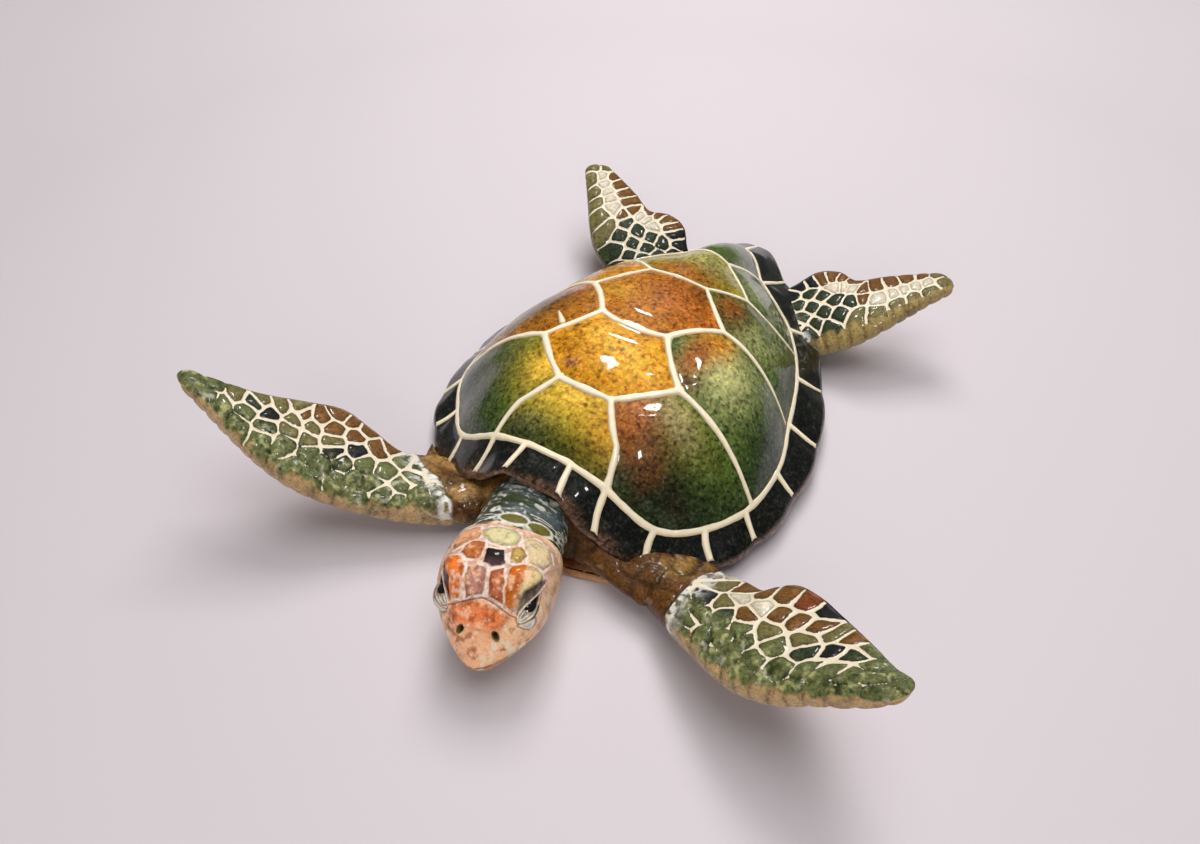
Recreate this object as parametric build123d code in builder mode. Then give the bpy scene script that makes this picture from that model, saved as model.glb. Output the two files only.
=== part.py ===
from build123d import *

import os
from math import atan2, cos, degrees, hypot, pi, radians, sin, tan

# Sea turtle figurine in cast resin, in millimetres, Z up.
# The belly plate rests on the floor at z = 0, the head points along -Y and the turtle's
# left side is +X. The shell is a casting glued over the body casting. The head and the
# four flippers are castings too: each sits on a flat seat of the body and is held there
# by a steel dowel. The pale seams of the shell are a raised line laid on its glaze.

# Shell
shell_length = 123.0
shell_width = 97.0
shell_height = 34.5
shell_set_back = 3.5
crown_ahead = 8.5
shell_wall = 2.2
scallop_depth = 1.2
side_fullness = 2.7
front_fullness = 3.0

# Seams of the shell
seam_width = 1.5
seam_height = 0.6
seam_bed = 0.05

# Fits between the castings
glue_gap = 0.15
rim_clearance = 0.4
overrun = 3.0

# Belly plate
belly_length = 110.0
belly_width = 62.0
belly_middle = -9.0
belly_thickness = 2.0
belly_chamfer = 0.6

# Trunk between the belly plate and the shell
trunk_waist_height = 9.0

# Chest and hips, which carry the flippers: how far each middle lies from the front edge or
# the tail of the shell, and how high
chest_depth = 20.6
chest_height = 13.6
chest_shift = 3.0
chest_behind_edge = 7.5
chest_middle_height = 9.6
hip_depth = 22.0
hip_height = 7.6
hip_ahead_of_tail = 27.0
hip_middle_height = 6.6

# Front left flipper: its root on the chest, in from the shell's side, ahead of the shell's
# front edge and up, and how far its tip lies from there
front_left_inset = 13.9
front_left_ahead = 0.5
front_left_height = 6.2
front_left_reach = 50.1
front_left_sweep = 8.8
front_left_lift = 26.3
front_left_chord = 25.7

# Front right flipper, swept further forward
front_right_inset = 26.2
front_right_ahead = 2.9
front_right_height = 6.2
front_right_reach = 55.3
front_right_sweep = 20.8
front_right_lift = 26.7
front_right_chord = 25.3

# Both front flippers
front_thickness = 9.0

# Hind flippers, a mirrored pair, placed from the tail
hind_inset = 20.5
hind_ahead_of_tail = 23.2
hind_height = 4.5
hind_reach = 27.4
hind_sweep = -16.7
hind_lift = 17.5
hind_chord = 28.0
hind_thickness = 8.0

# Head and neck, placed from the shell's front edge
neck_shift = 1.3
neck_ahead = 4.9
neck_height = 11.0
neck_half_width = 10.6
neck_half_height = 8.6
neck_root_back = 9.0
head_shift = 3.2
head_ahead = 11.1
head_length = 27.8
head_half_width = 12.5
head_rise = 20.0
head_base = 4.0
head_yaw = 19.0
neck_yaw = 8.0

# Eyes and nostrils
eye_radius = 3.4
eye_proud = 0.6
eye_gap = 0.1
nostril_radius = 0.7
nostril_depth = 1.6

# Dowels
front_dowel_radius = 1.25
front_dowel_length = 14.0
front_dowel_tilt = 12.0
hind_dowel_radius = 1.0
hind_dowel_length = 9.0
hind_dowel_tilt = 22.0
neck_dowel_radius = 2.0
neck_dowel_length = 18.0
dowel_clearance = 0.05
dowel_end_gap = 0.5
dowel_chamfer = 0.3

# Rim of the shell from the front of the midline round the left side to the tail: across
# as a share of half the width, along as a share of the length from the shell's middle,
# and up as a share of the height. The marginal scutes meet at these places.
rim_shares = [
    (0.0, -0.495, 0.615),
    (0.151, -0.498, 0.600),
    (0.344, -0.498, 0.375),
    (0.577, -0.474, 0.188),
    (0.829, -0.397, 0.145),
    (0.948, -0.310, 0.145),
    (1.0, -0.175, 0.154),
    (0.975, -0.033, 0.168),
    (0.847, 0.118, 0.188),
    (0.629, 0.263, 0.235),
    (0.301, 0.407, 0.275),
    (0.0, 0.5, 0.304),
]

# Seam between the marginal scutes and the dome, in the same shares and order
dome_edge_shares = [
    (0.0, -0.437, 0.675),
    (0.126, -0.437, 0.667),
    (0.313, -0.437, 0.586),
    (0.559, -0.425, 0.357),
    (0.734, -0.358, 0.270),
    (0.852, -0.284, 0.284),
    (0.883, -0.171, 0.307),
    (0.806, -0.046, 0.333),
    (0.711, 0.080, 0.362),
    (0.520, 0.210, 0.391),
    (0.223, 0.319, 0.429),
    (0.0, 0.407, 0.464),
]

# Corners of the scutes on the left half of the dome, across and along in the same shares
corner_shares = {
    "second_front": (0.145, -0.313),
    "second_side": (0.382, -0.225),
    "second_rear": (0.186, -0.133),
    "first_bend": (0.272, -0.376),
    "first_edge": (0.313, -0.437),
    "shoulder_edge": (0.835, -0.256),
    "third_side": (0.382, -0.041),
    "flank_edge": (0.798, -0.059),
    "third_rear": (0.165, 0.048),
    "fourth_side": (0.348, 0.103),
    "fourth_bend": (0.485, 0.107),
    "hip_edge": (0.640, 0.136),
    "fourth_rear": (0.118, 0.198),
    "tail_edge": (0.223, 0.319),
}
seam_runs = [
    ("first_edge", "first_bend"),
    ("first_bend", "second_front"),
    ("second_front", "second_side"),
    ("second_side", "second_rear"),
    ("second_side", "shoulder_edge"),
    ("second_rear", "third_side"),
    ("third_side", "flank_edge"),
    ("third_side", "third_rear"),
    ("third_rear", "fourth_side"),
    ("fourth_side", "fourth_bend"),
    ("fourth_bend", "hip_edge"),
    ("fourth_side", "fourth_rear"),
    ("fourth_rear", "tail_edge"),
]
seams_across = ["second_front", "second_rear", "third_rear", "fourth_rear"]
divider_reach_share = 0.95
furthest_past_share = 1.5

# Belly plate outline, left half: across as a share of half its width, along as a share of
# half its length from its middle
belly_shares = [
    (0.0, -1.0),
    (0.50, -0.96),
    (0.86, -0.86),
    (1.0, -0.62),
    (0.97, -0.20),
    (0.98, 0.20),
    (0.80, 0.62),
    (0.42, 0.92),
    (0.0, 1.0),
]
trunk_foot_share = 0.94
trunk_waist_share = 0.80
dowel_ahead_share = 0.06

# Flippers, from the root to the tip. Each row: out, forward and up as shares of the
# reach, the sweep and the lift, then the chord and the thickness as shares of theirs.
# The toe angles, in degrees, turn the chord's leading edge in towards the body, and the bank
# angles turn it down.
front_left_shares = [
    (0.0, 0.0, 0.0, 0.53, 0.86),
    (0.20, 0.02, 0.12, 0.80, 0.92),
    (0.32, 0.25, 0.23, 0.86, 0.86),
    (0.43, 0.38, 0.34, 1.0, 0.78),
    (0.58, 0.63, 0.49, 0.98, 0.68),
    (0.73, 0.80, 0.66, 0.71, 0.56),
    (0.86, 0.96, 0.83, 0.45, 0.42),
    (0.95, 1.0, 0.94, 0.23, 0.30),
    (1.0, 1.0, 1.0, 0.10, 0.16),
]
front_left_toes = [10.0, 34.0, 28.0, 17.0, 7.0, 4.0, 0.0, -8.0, -8.0]
front_left_banks = [0.0, 3.0, 5.0, 8.0, 11.0, 15.0, 19.0, 21.0, 21.0]
front_right_shares = [
    (0.0, 0.0, 0.0, 0.62, 0.86),
    (0.17, 0.34, 0.11, 0.70, 0.92),
    (0.32, 0.47, 0.24, 0.85, 0.86),
    (0.49, 0.61, 0.40, 1.0, 0.76),
    (0.62, 0.73, 0.56, 0.82, 0.64),
    (0.78, 0.88, 0.75, 0.50, 0.52),
    (0.91, 0.97, 0.91, 0.28, 0.38),
    (1.0, 1.0, 1.0, 0.12, 0.20),
]
front_right_toes = [44.0, 37.0, 27.0, 17.0, 9.0, 5.0, 4.0, 7.0]
front_right_banks = [0.0, 4.0, 6.0, 6.0, 3.0, 2.0, 1.0, 0.0]
hind_shares = [
    (0.0, 0.0, 0.0, 0.76, 0.82),
    (0.19, 0.26, 0.46, 1.0, 0.92),
    (0.46, 0.38, 0.64, 0.72, 0.80),
    (0.67, 0.66, 0.78, 0.57, 0.66),
    (0.87, 0.89, 0.90, 0.37, 0.50),
    (1.0, 1.0, 1.0, 0.16, 0.32),
]
hind_toes = [-40.0, -34.0, -40.0, -42.0, -38.0, -41.0]
hind_banks = [0.0, 9.0, 6.0, 4.0, 3.0, 0.0]

# Cross-section of a flipper, thick at its leading edge: along the chord and through the
# thickness, each as a share
blade_section_shares = [
    (0.50, 0.0),
    (0.45, 0.30),
    (0.29, 0.48),
    (0.05, 0.42),
    (-0.22, 0.27),
    (-0.43, 0.14),
    (-0.50, 0.0),
    (-0.43, -0.11),
    (-0.22, -0.20),
    (0.05, -0.34),
    (0.29, -0.47),
    (0.45, -0.30),
]

# Head from its back to the tip of the beak: along as a share of its length, then half the
# width, the top and the bottom as shares of its half width and of its rise over its base
head_shares = [
    (-0.03, 0.84, 0.82, 0.0),
    (0.11, 0.94, 0.93, 0.0),
    (0.32, 1.0, 1.0, 0.0),
    (0.54, 0.95, 0.95, 0.01),
    (0.72, 0.77, 0.78, 0.04),
    (0.86, 0.53, 0.59, 0.06),
    (0.95, 0.32, 0.43, 0.10),
    (1.0, 0.14, 0.32, 0.16),
]
head_squareness = 2.4
eye_along_share = 0.61
eye_up_share = 0.60
nostril_along_share = 0.84
nostril_across_share = 0.29
nostril_up_share = 0.52

# Sampling of curves
station_count = 14
points_across = 15
oval_points = 12

half_width = shell_width / 2
crown_y = shell_set_back - crown_ahead
front_edge_y = shell_set_back + rim_shares[1][1] * shell_length
tail_y = shell_set_back + rim_shares[-1][1] * shell_length
chest_place = (chest_shift, front_edge_y + chest_behind_edge, chest_middle_height)
hip_place = (0, tail_y - hip_ahead_of_tail, hip_middle_height)
front_left_root = (
    half_width - front_left_inset,
    front_edge_y - front_left_ahead,
    front_left_height,
)
front_right_root = (
    half_width - front_right_inset,
    front_edge_y - front_right_ahead,
    front_right_height,
)
hind_root = (half_width - hind_inset, tail_y - hind_ahead_of_tail, hind_height)
neck_seat = (neck_shift, front_edge_y - neck_ahead, neck_height)
head_back = (head_shift, front_edge_y - head_ahead)


def placed(shares):
    """Turn shares of the shell's sizes into places across, along and up."""
    return [
        (across * half_width, shell_set_back + along * shell_length, up * shell_height)
        for across, along, up in shares
    ]


def polar(x, y):
    """Angle from the front of the midline and distance, both about the crown."""
    return atan2(abs(x), crown_y - y), hypot(x, y - crown_y)


rim = placed(rim_shares)
dome_edge = placed(dome_edge_shares)


def smooth(knots, values, at):
    """Cubic curve through the values at the knots, level at both ends."""
    last = len(knots) - 2
    step = next((i for i in range(last) if at < knots[i + 1]), last)
    width = knots[step + 1] - knots[step]
    t = min(max((at - knots[step]) / width, 0.0), 1.0)

    def slope(i):
        if i == 0 or i == last + 1:
            return 0.0
        return (values[i + 1] - values[i - 1]) / (knots[i + 1] - knots[i - 1])

    start = (2 * t**3 - 3 * t**2 + 1) * values[step]
    start += (t**3 - 2 * t**2 + t) * width * slope(step)
    end = (3 * t**2 - 2 * t**3) * values[step + 1]
    end += (t**3 - t**2) * width * slope(step + 1)
    return start + end


rim_polar = [polar(x, y) for x, y, z in rim]
edge_polar = [polar(x, y) for x, y, z in dome_edge]


def ring(ring_polar, ring_places, angle):
    """Distance from the crown and height of a ring round the shell at an angle."""
    knots = [place[0] for place in ring_polar]
    reach = smooth(knots, [place[1] for place in ring_polar], angle)
    height = smooth(knots, [place[2] for place in ring_places], angle)
    return reach, height


def roof_height(x, y):
    """Top of the shell: a dome that falls to its edge as a power of the distance from
    the crown, then a straight slope from that edge to the rim and a little way past it."""
    angle, distance = polar(x, y)
    rim_reach, rim_height = ring(rim_polar, rim, angle)
    edge_reach, edge_height = ring(edge_polar, dome_edge, angle)
    if distance < edge_reach:
        turn = (1 + cos(angle)) / 2
        fullness = side_fullness + (front_fullness - side_fullness) * turn
        fall = (distance / edge_reach) ** fullness
        return shell_height - (shell_height - edge_height) * fall
    past = (distance - edge_reach) / (rim_reach - edge_reach)
    return edge_height + (rim_height - edge_height) * min(past, furthest_past_share)


def roof_section(y, raised):
    """Places along the roof, from right to left, in the cross-section at one y."""
    reach = half_width + overrun
    across = [reach * (2 * i / (points_across - 1) - 1) for i in range(points_across)]
    return [(x, roof_height(x, y) + raised) for x in across]


def station_plane(y):
    """Upright plane across the turtle, seen from its tail."""
    return Plane(origin=(0, y, 0), x_dir=(1, 0, 0), z_dir=(0, -1, 0))


first_station = rim[0][1] - scallop_depth - overrun
last_station = rim[-1][1] + scallop_depth + overrun
station_step = (last_station - first_station) / (station_count - 1)
stations = [first_station + station_step * i for i in range(station_count)]


def roof_sheet(upper, lower):
    """Solid between two copies of the roof, raised by upper and by lower."""
    with BuildPart() as sheet:
        for y in stations:
            with BuildSketch(station_plane(y)):
                with BuildLine():
                    top = Spline(*roof_section(y, upper))
                    bottom = Spline(*roof_section(y, lower))
                    Line(top @ 0, bottom @ 0)
                    Line(top @ 1, bottom @ 1)
                make_face()
        loft()
    return sheet.part


def roof_cover(lower):
    """Solid from the roof, raised by lower, up to a flat lid over the whole shell."""
    lid = shell_height + overrun
    with BuildPart() as cover:
        for y in stations:
            with BuildSketch(station_plane(y)):
                with BuildLine():
                    under = Spline(*roof_section(y, lower))
                    left_top = (half_width + overrun, lid)
                    right_top = (-half_width - overrun, lid)
                    Polyline(under @ 1, left_top, right_top, under @ 0)
                make_face()
        loft()
    return cover.part


def shell_prism(margin):
    """Upright solid over the plan outline of the shell, one arc a marginal scute."""
    left = [Vector(x, y) for x, y, z in rim]
    right = [Vector(-corner.X, corner.Y) for corner in reversed(left)]
    corners = left[1:] + right[1:-1]
    with BuildPart() as prism:
        with BuildSketch():
            with BuildLine():
                for start, end in zip(corners, corners[1:]):
                    run = end - start
                    outward = Vector(run.Y, -run.X).normalized()
                    ThreePointArc(start, (start + end) * 0.5 + outward * scallop_depth, end)
                ThreePointArc(corners[-1], left[0], corners[0])
            make_face()
            if margin:
                offset(amount=margin)
        extrude(amount=shell_height + 2 * overrun)
    return prism.part


# Shell casting
shell_blank = roof_sheet(0, -shell_wall)
shell_plan = shell_prism(0)

with BuildPart() as carapace:
    add(shell_blank)
    add(shell_plan, mode=Mode.INTERSECT)

# Everything under the shell is cut back to this space
roof_room = roof_cover(-shell_wall - glue_gap)
room_plan = shell_prism(rim_clearance)

with BuildPart() as shell_room:
    add(roof_room)
    add(room_plan, mode=Mode.INTERSECT)


# Raised seams
def corner_place(name):
    """Plan place of a named corner of the scutes on the left half."""
    across, along = corner_shares[name]
    return Vector(across * half_width, shell_set_back + along * shell_length)


def closed_outline(left_half):
    """Places of the left half, then of its mirror image, without doubling the midline."""
    return left_half + [(-x, y) for x, y in reversed(left_half[1:-1])]


def edge_ring(outward):
    """Plan places round the edge of the dome, moved out from the crown."""
    places = []
    for angle, distance in edge_polar:
        reach = distance + outward
        places.append((reach * sin(angle), crown_y - reach * cos(angle)))
    return closed_outline(places)


def straight_seams():
    """Both ends of every straight run of seam, on both halves."""
    runs = [(corner_place(a), corner_place(b)) for a, b in seam_runs]
    for (x1, y1, z1), (x2, y2, z2) in zip(dome_edge[1:], rim[1:]):
        run = Vector(x2 - x1, y2 - y1) * divider_reach_share
        runs.append((Vector(x1, y1), Vector(x1, y1) + run))
    mirrored_runs = [(Vector(-a.X, a.Y), Vector(-b.X, b.Y)) for a, b in runs[:-1]]
    across = [(Vector(-place.X, place.Y), place) for place in map(corner_place, seams_across)]
    return runs + mirrored_runs + across


seam_sheet = roof_sheet(seam_height, seam_bed)

with BuildPart() as scute_lines:
    with BuildSketch():
        with BuildLine():
            Spline(*edge_ring(seam_width / 2), periodic=True)
        make_face()
        with BuildLine():
            Spline(*edge_ring(-seam_width / 2), periodic=True)
        make_face(mode=Mode.SUBTRACT)
        for start, end in straight_seams():
            run = end - start
            turn = degrees(atan2(run.Y, run.X))
            with Locations((start + end) * 0.5):
                SlotCenterToCenter(run.length, seam_width, rotation=turn)
    extrude(amount=shell_height + 2 * overrun)
    add(seam_sheet, mode=Mode.INTERSECT)


# Belly plate
belly_places = [
    (across * belly_width / 2, belly_middle + along * belly_length / 2)
    for across, along in belly_shares
]

with BuildPart() as plastron:
    with BuildSketch():
        with BuildLine():
            Spline(*closed_outline(belly_places), periodic=True)
        make_face()
    extrude(amount=belly_thickness)
    chamfer(plastron.faces().sort_by(Axis.Z)[0].edges(), length=belly_chamfer)


# Sections of the flippers, the head and the body
def section_plane(centre, chord_way, normal_way):
    """Plane through a centre with its first axis along the chord."""
    chord_way = Vector(*chord_way).normalized()
    normal_way = Vector(*normal_way)
    normal_way = normal_way - chord_way * normal_way.dot(chord_way)
    return Plane(origin=centre, x_dir=chord_way, z_dir=normal_way)


def oval(half_across, half_up, squareness=2.0):
    """Closed outline whose corners fill out as the squareness grows past two."""
    places = []
    for i in range(oval_points):
        angle = 2 * pi * i / oval_points
        across, up = cos(angle), sin(angle)
        across = half_across * abs(across) ** (2 / squareness) * (1 if across > 0 else -1)
        up = half_up * abs(up) ** (2 / squareness) * (1 if up > 0 else -1)
        places.append((across, up))
    return places


def lofted(sections):
    """Solid through closed smooth outlines, each a plane and its places."""
    with BuildPart() as body_form:
        for plane, places in sections:
            with BuildSketch(plane):
                with BuildLine():
                    Spline(*places, periodic=True)
                make_face()
        loft()
    return body_form.part


def flipper_sections(root, sizes, rows, toes, banks):
    """Sections of a flipper on the left side, turned to its path, toed in and banked."""
    reach, sweep, lift, chord, thickness = sizes
    centres = [
        Vector(root[0] + out * reach, root[1] - forward * sweep, root[2] + up * lift)
        for out, forward, up, chord_share, thickness_share in rows
    ]
    sections = []
    for i, (centre, row, toe, bank) in enumerate(zip(centres, rows, toes, banks)):
        way = centres[min(i + 1, len(rows) - 1)] - centres[max(i - 1, 0)]
        rise = way.Z if i else 0
        lead = radians(toe)
        chord_way = (-sin(lead), -cos(lead), -tan(radians(bank)))
        plane = section_plane(centre, chord_way, (way.X, way.Y, rise))
        places = [
            (along * row[3] * chord, -through * row[4] * thickness)
            for along, through in blade_section_shares
        ]
        sections.append((plane, places))
    return sections


def to_right(section):
    """The same section on the other side of the plane of symmetry."""
    plane, places = section
    centre, along, normal = (
        (-v.X, v.Y, v.Z) for v in (plane.origin, plane.x_dir, plane.z_dir)
    )
    flipped = [(x, -y) for x, y in places]
    return Plane(origin=centre, x_dir=along, z_dir=normal), flipped


front_left = flipper_sections(
    front_left_root,
    (front_left_reach, front_left_sweep, front_left_lift, front_left_chord, front_thickness),
    front_left_shares,
    front_left_toes,
    front_left_banks,
)
front_right = flipper_sections(
    front_right_root,
    (front_right_reach, front_right_sweep, front_right_lift, front_right_chord, front_thickness),
    front_right_shares,
    front_right_toes,
    front_right_banks,
)
hind = flipper_sections(
    hind_root,
    (hind_reach, hind_sweep, hind_lift, hind_chord, hind_thickness),
    hind_shares,
    hind_toes,
    hind_banks,
)


def heading(yaw):
    """Level way forward, turned by the yaw towards the turtle's left."""
    return Vector(sin(radians(yaw)), -cos(radians(yaw)), 0)


def cross_plane(centre, yaw):
    """Upright plane square to a heading, its first axis towards the turtle's left."""
    forward = heading(yaw)
    return Plane(origin=centre, x_dir=(-forward.Y, forward.X, 0), z_dir=forward)


# Neck seat, on the body and on the head
neck_plane = cross_plane(neck_seat, neck_yaw)
neck_places = oval(neck_half_width, neck_half_height)
neck_root_plane = neck_plane.offset(-neck_root_back)

# Head
head_sections = [(neck_plane, neck_places)]
for along, across, top, bottom in head_shares:
    middle = head_base + head_rise * (top + bottom) / 2
    centre = Vector(*head_back, middle) + heading(head_yaw) * along * head_length
    places = oval(across * head_half_width, head_rise * (top - bottom) / 2, head_squareness)
    head_sections.append((cross_plane(centre, head_yaw), places))

brow_share = (head_shares[3][1] + head_shares[4][1]) / 2
eye_across = brow_share * head_half_width - eye_radius + eye_proud
head_left_way = cross_plane(Vector(*head_back), head_yaw).x_dir


def eye_plane(side):
    """Level plane through the centre of an eyeball, its first axis towards the midline."""
    centre = Vector(*head_back, head_base + eye_up_share * head_rise)
    centre += heading(head_yaw) * eye_along_share * head_length
    centre += head_left_way * side * eye_across
    return Plane(origin=centre, x_dir=head_left_way * -side, z_dir=(0, 0, 1))


# Dowels, one through each seat
def dowel_plane(section, ahead, tilt):
    """Plane across a dowel, ahead of the middle of its seat and tilted up to the tip."""
    plane = section[0]
    centre = plane.origin + plane.x_dir * ahead
    way = plane.z_dir * cos(radians(tilt)) + Vector(0, 0, sin(radians(tilt)))
    return Plane(origin=centre, x_dir=plane.x_dir, z_dir=way)


front_ahead = dowel_ahead_share * front_left_chord
hind_ahead = dowel_ahead_share * hind_chord
front_dowel = (front_dowel_radius, front_dowel_length)
hind_dowel = (hind_dowel_radius, hind_dowel_length)
dowels = {
    "neck_pin": (neck_plane, neck_dowel_radius, neck_dowel_length),
    "front_left_pin": (dowel_plane(front_left[0], front_ahead, front_dowel_tilt), *front_dowel),
    "front_right_pin": (
        dowel_plane(to_right(front_right[0]), front_ahead, front_dowel_tilt),
        *front_dowel,
    ),
    "rear_left_pin": (dowel_plane(hind[0], hind_ahead, hind_dowel_tilt), *hind_dowel),
    "rear_right_pin": (dowel_plane(to_right(hind[0]), hind_ahead, hind_dowel_tilt), *hind_dowel),
}
flippers = {
    "front_left_flipper": (front_left, False, "front_left_pin"),
    "front_right_flipper": (front_right, True, "front_right_pin"),
    "rear_left_flipper": (hind, False, "rear_left_pin"),
    "rear_right_flipper": (hind, True, "rear_right_pin"),
}


def dowel_hole(plane, radius, length):
    """Solid that a dowel's hole takes away, half of it on each side of the seat."""
    depth = length / 2 + dowel_end_gap
    with BuildPart() as hole:
        with BuildSketch(plane.offset(-depth)):
            Circle(radius + dowel_clearance)
        extrude(amount=2 * depth)
    return hole.part


holes = {name: dowel_hole(*dowel) for name, dowel in dowels.items()}


# Body casting: trunk, chest, hips and the collar that the neck sits on
trunk_foot_places = []
trunk_waist_places = []
for x, y in belly_places:
    along = belly_middle + (y - belly_middle) * trunk_foot_share
    trunk_foot_places.append((x * trunk_foot_share, along))
    angle, distance = polar(x, y)
    reach = ring(rim_polar, rim, angle)[0] * trunk_waist_share
    trunk_waist_places.append((reach * sin(angle), crown_y - reach * cos(angle)))


def level_section(places, height):
    """Level plane and the closed outline over its left half's places."""
    return Plane.XY.offset(height), closed_outline(places)


def upright_section(place, depth, height):
    """Oval in an upright plane along the turtle, for the chest and the hips."""
    plane = section_plane(place, (0, -1, 0), (1, 0, 0))
    return plane, [(along, -up) for along, up in oval(depth / 2, height / 2)]


trunk_foot = level_section(trunk_foot_places, belly_thickness)
trunk_waist = level_section(trunk_waist_places, trunk_waist_height)
trunk = lofted([trunk_foot, trunk_waist])
chest_middle = upright_section(chest_place, chest_depth, chest_height)
chest = lofted([front_left[0], chest_middle, to_right(front_right[0])])
hip_middle = upright_section(hip_place, hip_depth, hip_height)
hips = lofted([hind[0], hip_middle, to_right(hind[0])])
collar = lofted([(neck_root_plane, neck_places), (neck_plane, neck_places)])

with BuildPart() as body:
    add(trunk)
    with BuildSketch(trunk_waist[0]):
        with BuildLine():
            Spline(*trunk_waist[1], periodic=True)
        make_face()
    extrude(amount=shell_height - trunk_waist_height)
    add(shell_room.part, mode=Mode.SUBTRACT)
    add(chest)
    add(hips)
    add(collar)
    add(shell_room.part, mode=Mode.SUBTRACT)
    for hole in holes.values():
        add(hole, mode=Mode.SUBTRACT)

with BuildPart() as head:
    add(lofted(head_sections))
    add(holes["neck_pin"], mode=Mode.SUBTRACT)
    with Locations(eye_plane(1), eye_plane(-1)):
        Sphere(eye_radius + eye_gap, mode=Mode.SUBTRACT)
    nostril_along = nostril_along_share * head_length - nostril_depth
    nostril_height = head_base + nostril_up_share * head_rise
    nostril_across = nostril_across_share * head_half_width
    nostril_centre = Vector(*head_back, nostril_height) + heading(head_yaw) * nostril_along
    with BuildSketch(cross_plane(nostril_centre, head_yaw)):
        with Locations((nostril_across, 0), (-nostril_across, 0)):
            Circle(nostril_radius)
    extrude(amount=head_length, mode=Mode.SUBTRACT)

os.makedirs("parts", exist_ok=True)

carapace.part.label = "carapace"
scute_lines.part.label = "scute_lines"
plastron.part.label = "plastron"
body.part.label = "body"
head.part.label = "head"
for piece in (carapace, scute_lines, plastron, body, head):
    export_step(piece.part, f"parts/{piece.part.label}.step")

for name, (sections, on_right, pin_name) in flippers.items():
    with BuildPart() as flipper:
        add(lofted(sections))
        if on_right:
            mirror(about=Plane.YZ, mode=Mode.REPLACE)
        add(holes[pin_name], mode=Mode.SUBTRACT)
    flipper.part.label = name
    export_step(flipper.part, f"parts/{name}.step")

for name, side in (("left_eye", 1), ("right_eye", -1)):
    with BuildPart() as eye:
        with Locations(eye_plane(side)):
            Sphere(eye_radius)
    eye.part.label = name
    export_step(eye.part, f"parts/{name}.step")

for name, (plane, radius, length) in dowels.items():
    with BuildPart() as dowel:
        with BuildSketch(plane.offset(-length / 2)):
            Circle(radius)
        extrude(amount=length)
        chamfer(dowel.edges().filter_by(GeomType.CIRCLE), length=dowel_chamfer)
    dowel.part.label = name
    export_step(dowel.part, f"parts/{name}.step")
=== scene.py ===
# %% [markdown]
# # A glazed resin sea turtle
#
# The real figurine is a handful of resin castings, painted by hand and dipped in clear
# lacquer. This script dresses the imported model: it keeps every piece where the frame has it
# and gives each one the carved and painted surface that the photograph shows. All arrays
# below are in millimetres, and only the last step turns them into metres.

# %% Load the frame
from itertools import product

import bpy
import numpy as np
from mathutils import Matrix


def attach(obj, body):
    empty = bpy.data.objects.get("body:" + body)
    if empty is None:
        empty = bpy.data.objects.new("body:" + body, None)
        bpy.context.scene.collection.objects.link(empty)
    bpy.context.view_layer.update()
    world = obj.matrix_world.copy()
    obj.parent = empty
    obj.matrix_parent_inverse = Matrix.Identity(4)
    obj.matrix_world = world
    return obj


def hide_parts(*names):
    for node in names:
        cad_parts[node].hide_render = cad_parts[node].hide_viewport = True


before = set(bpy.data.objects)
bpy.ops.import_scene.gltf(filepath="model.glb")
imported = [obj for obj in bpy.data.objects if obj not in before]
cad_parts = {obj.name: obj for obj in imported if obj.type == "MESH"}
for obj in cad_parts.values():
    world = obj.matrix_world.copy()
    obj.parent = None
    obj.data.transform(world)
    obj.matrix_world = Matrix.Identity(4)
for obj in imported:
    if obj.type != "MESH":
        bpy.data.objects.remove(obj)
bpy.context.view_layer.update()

MM = 0.001
print("nodes:", ", ".join(sorted(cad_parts)))

# %% [markdown]
# ## The camera
#
# The photograph was taken close up with a phone's wide lens, from the turtle's front left
# and well above it. Its place was solved from pairs of seams that mirror each other across
# the shell. An orthographic camera would be simpler, but it would lose the large head.

# %% Set the camera
PHOTO_WIDTH_PX = 1200
FOCAL_PX = 840.0
SENSOR_MM = 36.0
camera_place = np.array([75.6, -148.9, 163.8])
camera_right = np.array([0.8473, 0.5311, -0.0006])
camera_up = np.array([-0.3851, 0.6152, 0.6879])
camera_back = np.array([0.3657, -0.5827, 0.7258])

camera_data = bpy.data.cameras.new("photo_camera")
camera_data.sensor_width = SENSOR_MM
camera_data.lens = FOCAL_PX * SENSOR_MM / PHOTO_WIDTH_PX
camera_data.clip_start = 0.01
camera = bpy.data.objects.new("photo_camera", camera_data)
turn = np.eye(4)
turn[:3, :3] = np.stack([camera_right, camera_up, camera_back], axis=1)
turn[:3, 3] = camera_place * MM
camera.matrix_world = Matrix(turn.tolist())
bpy.context.scene.collection.objects.link(camera)
bpy.context.scene.camera = camera
print("lens", round(camera_data.lens, 1), "mm")

# %% [markdown]
# ## The light
#
# The turtle stands under soft light from above and from behind it, so its shadows fall
# towards us. Three large lamps give that light. They are hidden from the lacquer, where they
# would lie as a grey veil. Six small lamps do the opposite: they shine only on gloss, and
# leave the white spots that the photograph shows on the shell. The world is dim as a light
# and bright only where the camera sees it, so that no colour is washed out.

# %% Light the studio
WORLD_LIGHT, WORLD_SEEN = 0.11, 0.72
GLINT_DISTANCE = 620.0
GLINT_TARGET = np.array([0, -20, 30])


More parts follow.
